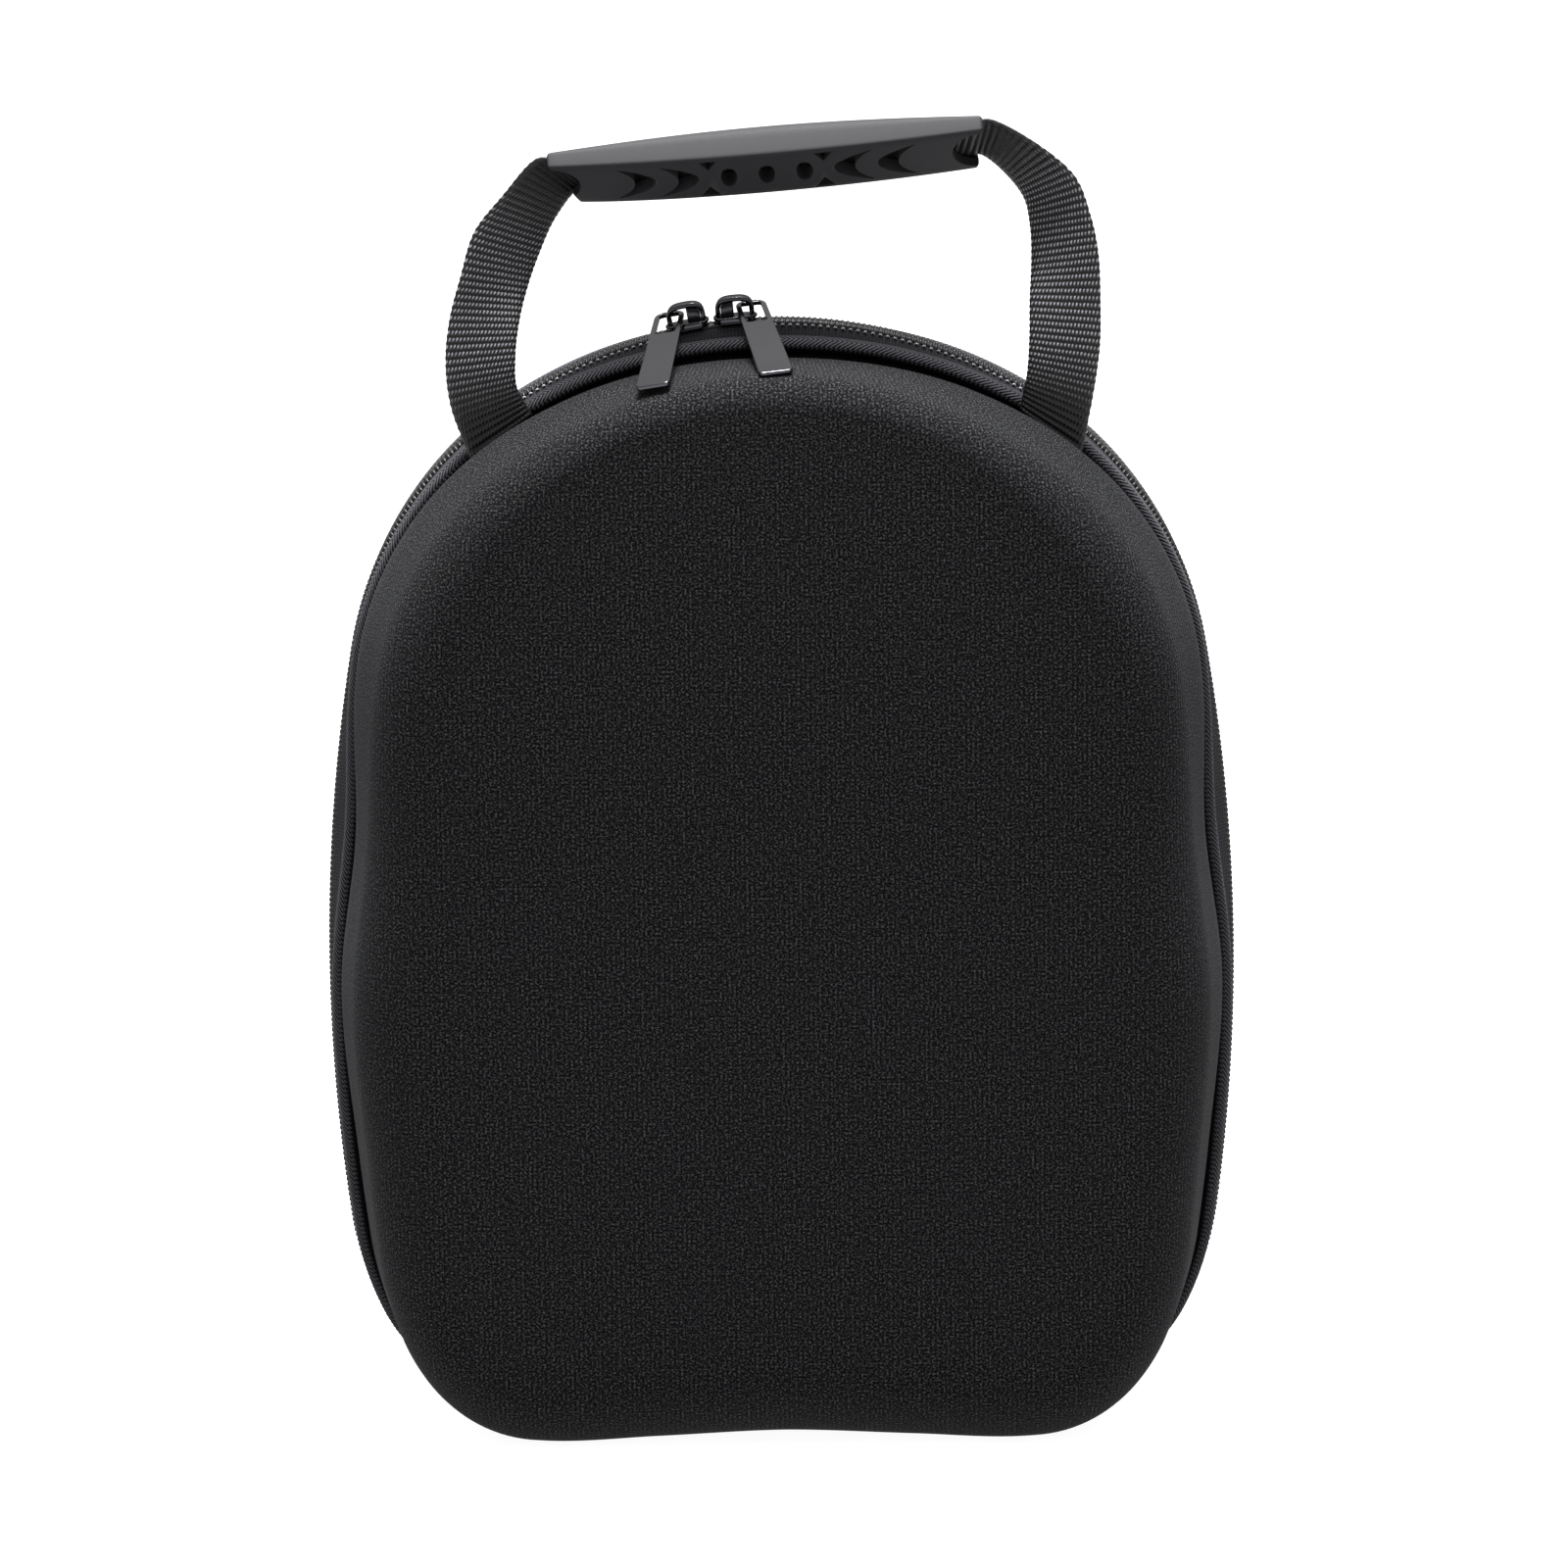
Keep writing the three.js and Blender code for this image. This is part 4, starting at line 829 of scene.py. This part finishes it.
# Strap: both edges follow their knots; each face is raised in rows of leaning floats, a sine along by one
# across. Also gives the strap's length and the distances at which it meets the grip.
def strapPart():
    plan = handleStrap
    half = plan["width"] / 2
    edges = []
    for column, across, reach in ((0, -half, plan["rootOuter"]), (3, half, plan["rootInner"])):
        roots = rimPoints(np.array([-reach, reach]), plan["rootInset"], -plan["rootDepth"])
        inGrip = np.array([(row[column // 3], across, 0.0) for row in plan["inGrip"]])
        inGrip = inGrip @ gripTurn.T + gripPlace
        left, right = (np.array(plan[k])[:, column:column + 3] for k in ("left", "right"))
        edges.append(np.vstack([roots[:1], left, inGrip, right[::-1], roots[1:]]))
    rough = np.linspace(0, len(edges[0]) - 1, 1500)
    middle = (throughKnots(edges[0], rough) + throughKnots(edges[1], rough)) / 2
    length = np.concatenate([[0], np.cumsum(np.linalg.norm(np.diff(middle, axis=0), axis=1))])
    along = np.arange(0, length[-1], plan["ribPitch"] / 4)
    shown = np.abs(np.interp(along, length, middle[:, 0])) > plan["hidden"]
    along = along[shown | (np.arange(len(along)) % 6 == 0)]
    at = np.interp(along, length, rough)
    outer, inner = (throughKnots(e, at) for e in edges)
    path = np.gradient((outer + inner) / 2, axis=0)
    normal = np.cross(path, outer - inner)
    normal /= np.linalg.norm(normal, axis=1)[:, None]
    share = np.linspace(-1, 1, 4 * plan["floats"] + 1)
    row = np.sin(np.pi * ((along[:, None] / plan["ribPitch"]) % 1))
    place = np.pi * (share[None] * half + plan["floatLean"] * along[:, None]) * plan["floats"] / plan["width"]
    relief = row * (plan["ribRise"] + plan["floatRise"] * np.abs(np.sin(place))) * (1 - share[None] ** 10)
    body = (plan["thickness"] / 2 - plan["ribRise"]) * (1 - plan["thinEdge"] * share[None] ** 12)
    tuck = plan["scallop"] * np.sign(share) * np.abs(share) ** 12 * (1 - row)
    flat = ((outer + inner)[:, None] - (outer - inner)[:, None] * (share + tuck)[..., None]) / 2
    lift = normal[:, None] * (body + relief)[..., None]
    points = np.concatenate([flat + lift, (flat - lift)[:, ::-1]], 1)
    girth = half * np.concatenate([share, 2 - share[::-1], share[:1] + 4])
    pattern = np.stack(np.broadcast_arrays(along[:, None], girth[None]), -1)
    mouths = [float(np.interp(s * gripBody["halfLength"], middle[:, 0], length)) for s in (-1, 1)]
    part = gridPart(points, pattern, True, False, points[0].mean(0), points[-1].mean(0))
    return part, float(length[-1]), mouths


strapShape, strapLength, gripMouths = strapPart()
strapCloth = ribbedPolypropylene(strapLength, gripMouths)
makePiece("handle_strap_woven", [strapShape], strapCloth, replaces=["handle_webbing"])


# Half width and the two heights of the grip at a distance along it: they swell to the middle by a square.
def gripSize(x):
    plan = gripBody
    swell = 1 - np.clip(x / plan["halfLength"], -1, 1) ** 2
    return [plan[end] + (plan[mid] - plan[end]) * swell
            for mid, end in (("halfWidth", "endHalfWidth"), ("under", "endUnder"), ("over", "endOver"))]


# Grip body: squared half ellipses above and below, ends aslant and rolled over by a small radius.
def gripPart():
    plan = gripBody
    reach, roll = plan["halfLength"], plan["endRound"]
    ends = roll * (1 - np.cos(np.linspace(0, np.pi / 2, 5)))
    shrink = roll * (1 - np.sin(np.linspace(0, np.pi / 2, 5)))
    x = np.concatenate([ends - reach, np.linspace(roll - reach, reach - roll, 61)[1:-1], reach - ends[::-1]])
    inset = np.concatenate([shrink, np.zeros(59), shrink[::-1]])[:, None]
    angle = np.linspace(0, 2 * np.pi, 57)[None]
    half, under, over = (v[:, None] - inset for v in gripSize(x))
    c, s = np.cos(angle), np.sin(angle)
    power = np.where(s >= 0, 2 / plan["topSquareness"], 2 / plan["lowSquareness"])
    across = half * np.sign(c) * np.abs(c) ** power
    out = np.where(s >= 0, over, under) * np.sign(s) * np.abs(s) ** power
    slope = (across + plan["halfWidth"] + 1) / (2 * plan["halfWidth"] + 2)
    share = ((x + reach) / (2 * reach))[:, None]
    lean = slope * (plan["leftSlant"] * (1 - share) ** 6 - plan["rightSlant"] * share**6)
    points = np.stack(np.broadcast_arrays(x[:, None] + lean, across, out), -1)
    uv = np.zeros((points.shape[0], points.shape[1], 2))
    return gridPart(points[:, :-1], uv, True, False, points[0, :-1].mean(0), points[-1, :-1].mean(0))


# Cutter through the flat side: the outline kept from the strap tunnel to near the surface, then flared.
def cutterPart(outline, flared):
    plan = gripBody
    under, underFlared = (gripSize(loop[:, 0])[1] for loop in (outline, flared))
    rows = [(outline, np.full(len(outline), -plan["cutTop"])), (outline, plan["chamfer"] - under),
            (flared, -plan["cutSkin"] - underFlared), (flared, -plan["cutBelow"] - underFlared)]
    return stackPart([np.column_stack(row) for row in rows])


# Crescent cutter: four-cornered sections carried across the grip between the round and the hollow side.
def moonPart(side, place):
    plan = gripBody
    across = np.linspace(-1, 1, 21)
    rise = 1 - across**2
    near = side * (place - plan["moonBulge"] * rise + plan["moonBulge"] / 2)
    far = side * (place - plan["moonHollow"] * rise + plan["moonBulge"] / 2 + plan["moonHorn"])
    _, under, _ = gripSize(near)
    flare = side * plan["chamfer"]
    levels = [(0, np.full(21, -plan["cutTop"])), (0, plan["chamfer"] - under),
              (flare, -plan["cutSkin"] - under), (flare, -plan["cutBelow"] - under)]
    columns = [(near - wide, z) for wide, z in levels] + [(far + wide, z) for wide, z in levels[::-1]]
    y = across * plan["moonReach"]
    return stackPart(np.stack([np.stack([x, y, z], -1) for x, z in columns], 1))


# Loop of a mouth: a half ellipse that opens past the grip's end, grown by a margin.
def notchLoop(side, grow):
    plan = gripBody
    bow = np.radians(np.linspace(-90, 90, 17))
    half, past = plan["notchHalf"] + grow, plan["halfLength"] + plan["notchPast"]
    x = plan["halfLength"] - plan["notchDepth"] - grow + plan["notchRound"] * (1 - np.cos(bow))
    return np.column_stack([side * np.r_[past, x, past], half * np.r_[-1, np.sin(bow), 1]])


# All that is cut from the grip: the strap tunnel, ovals, crescents, triangles and the mouths at the ends.
def gripCutters():
    plan = gripBody
    wide, high = (handleStrap[k] / 2 + plan["tunnelGap"] for k in ("width", "thickness"))
    loop = roundedLoop((0, 0), wide, high, plan["tunnelCorner"], 3)
    ends = plan["tunnelReach"] * np.array([-1.0, 1.0])
    cutters = [stackPart([np.column_stack([np.full(len(loop), x), loop]) for x in ends])]
    turn = np.linspace(0, 2 * np.pi, 33)[:-1]
    oval = lambda x, a, b: np.stack([x + a * np.cos(turn), b * np.sin(turn)], -1)
    c = plan["chamfer"]
    for x in plan["holes"]:
        a, b = plan["holeHalf"]
        cutters.append(cutterPart(oval(x, a, b), oval(x, a + c, b + c)))
    for side in (-1, 1):
        cutters += [moonPart(side, place) for place in plan["moons"]]
        for edge in (-1, 1):
            base, x = plan["crossHalf"], side * plan["crosses"]
            corner = np.array([(x - base, edge * plan["crossOuter"]), (x + base, edge * plan["crossOuter"]),
                               (x, edge * plan["crossInner"])])
            middle = corner.mean(0)
            cutters.append(cutterPart(corner, middle + (corner - middle) * plan["crossFlare"]))
        cutters.append(cutterPart(notchLoop(side, 0), notchLoop(side, c)))
    return cutters


# Cuts the openings out of the grip in its own frame, then turns and places the finished surface.
def cutGrip():
    grip = makePiece("handle_grip_moulded", [gripPart()], gripRubber, replaces=["handle_grip"])
    tools = bpy.data.collections.new("grip_tools")
    scene.collection.children.link(tools)
    for number, (verts, faces, _) in enumerate(gripCutters()):
        mesh = bpy.data.meshes.new("grip_tool_%d" % number)
        mesh.from_pydata((verts * 0.001).tolist(), [], [[i for i in f if i >= 0] for f in faces.tolist()])
        tools.objects.link(bpy.data.objects.new(mesh.name, mesh))
    cut = grip.modifiers.new("openings", "BOOLEAN")
    cut.operation, cut.operand_type, cut.solver, cut.collection = "DIFFERENCE", "COLLECTION", "EXACT", tools
    done = bpy.data.meshes.new_from_object(grip.evaluated_get(bpy.context.evaluated_depsgraph_get()))
    grip.modifiers.clear()
    for tool in list(tools.objects):
        bpy.data.objects.remove(tool)
    bpy.data.collections.remove(tools)
    points = np.empty(len(done.vertices) * 3)
    done.vertices.foreach_get("co", points)
    points = points.reshape(-1, 3) @ gripTurn.T + gripPlace * 0.001
    done.vertices.foreach_set("co", points.ravel())
    done.update()
    done.polygons.foreach_set("use_smooth", np.ones(len(done.polygons), bool))
    done.set_sharp_from_angle(angle=np.radians(32))
    done.name = "handle_grip_moulded"
    grip.data = done
    print("grip cut:", len(done.polygons), "faces")


cutGrip()


studio = {
    "floorHalf": 6.0, "floorColour": "#8a8a8a", "floorGlow": 0.95,
    "roomLight": 0.08, "skyLight": 2.75,
    "topEnergy": 108.0, "topSize": 0.54, "topPlace": (0.0, 0.0, 1.5),
    "elevation": 15.0, "distance": 2.0, "aim": (0.0011, 0.0, 0.168), "roll": -0.6,
    "lens": 172.8, "sensor": 36.0,
}


# Pale opal floor lit from below, a white room that brightens by the square of the height and one soft light
# above; the camera stands where the photo's did.
def buildStudio():
    plan = studio
    half = plan["floorHalf"] * 1000
    corners = np.array([[[-half, -half, 0.0], [half, -half, 0]], [[-half, half, 0], [half, half, 0]]])
    # Opal acrylic sheet: even, white and without gloss.
    material = startMaterial(
        "opal_acrylic_floor", Base_Color=linearColour(plan["floorColour"]), Roughness=1.0,
        Specular_IOR_Level=0.0, Emission_Color=linearColour("#ffffff"),
        Emission_Strength=plan["floorGlow"])[0]
    mesh = bpy.data.meshes.new("floor")
    mesh.from_pydata((corners.reshape(-1, 3) * 0.001).tolist(), [], [(0, 1, 3, 2)])
    mesh.materials.append(material)
    floor = bpy.data.objects.new("floor", mesh)
    scene.collection.objects.link(floor)
    world = bpy.data.worlds.new("studio_world")
    world.use_nodes = True
    tree = world.node_tree
    way = addNode(tree, "SeparateXYZ", {0: addNode(tree, "TexCoord").outputs["Generated"]})
    rise = addNode(tree, "Math", {0: way.outputs[2], 1: 0.0}, operation="MAXIMUM")
    square = addNode(tree, "Math", {0: rise, 1: 2.0}, operation="POWER")
    light = addNode(tree, "Math", {0: square, 1: plan["skyLight"], 2: plan["roomLight"]},
                    operation="MULTIPLY_ADD")
    tree.links.new(light.outputs[0], tree.nodes["Background"].inputs["Strength"])
    tree.nodes["Background"].inputs["Color"].default_value = linearColour("#ffffff")
    scene.world = world
    lamp = bpy.data.lights.new("top_light", "AREA")
    lamp.shape, lamp.size, lamp.energy = "DISK", plan["topSize"], plan["topEnergy"]
    top = bpy.data.objects.new("top_light", lamp)
    top.location = plan["topPlace"]
    scene.collection.objects.link(top)
    camera = bpy.data.objects.new("camera", bpy.data.cameras.new("camera"))
    camera.data.lens, camera.data.sensor_width = plan["lens"], plan["sensor"]
    rise = np.radians(plan["elevation"])
    aim = np.array(plan["aim"])
    camera.location = aim + plan["distance"] * np.array([0, -np.cos(rise), np.sin(rise)])
    camera.rotation_euler = (np.pi / 2 - rise, 0.0, 0.0)
    camera.rotation_euler.rotate_axis("Z", np.radians(plan["roll"]))
    scene.collection.objects.link(camera)
    scene.camera = camera
    scene.view_settings.view_transform = "Standard"
    scene.view_settings.look = "None"
    print("studio built")


buildStudio()
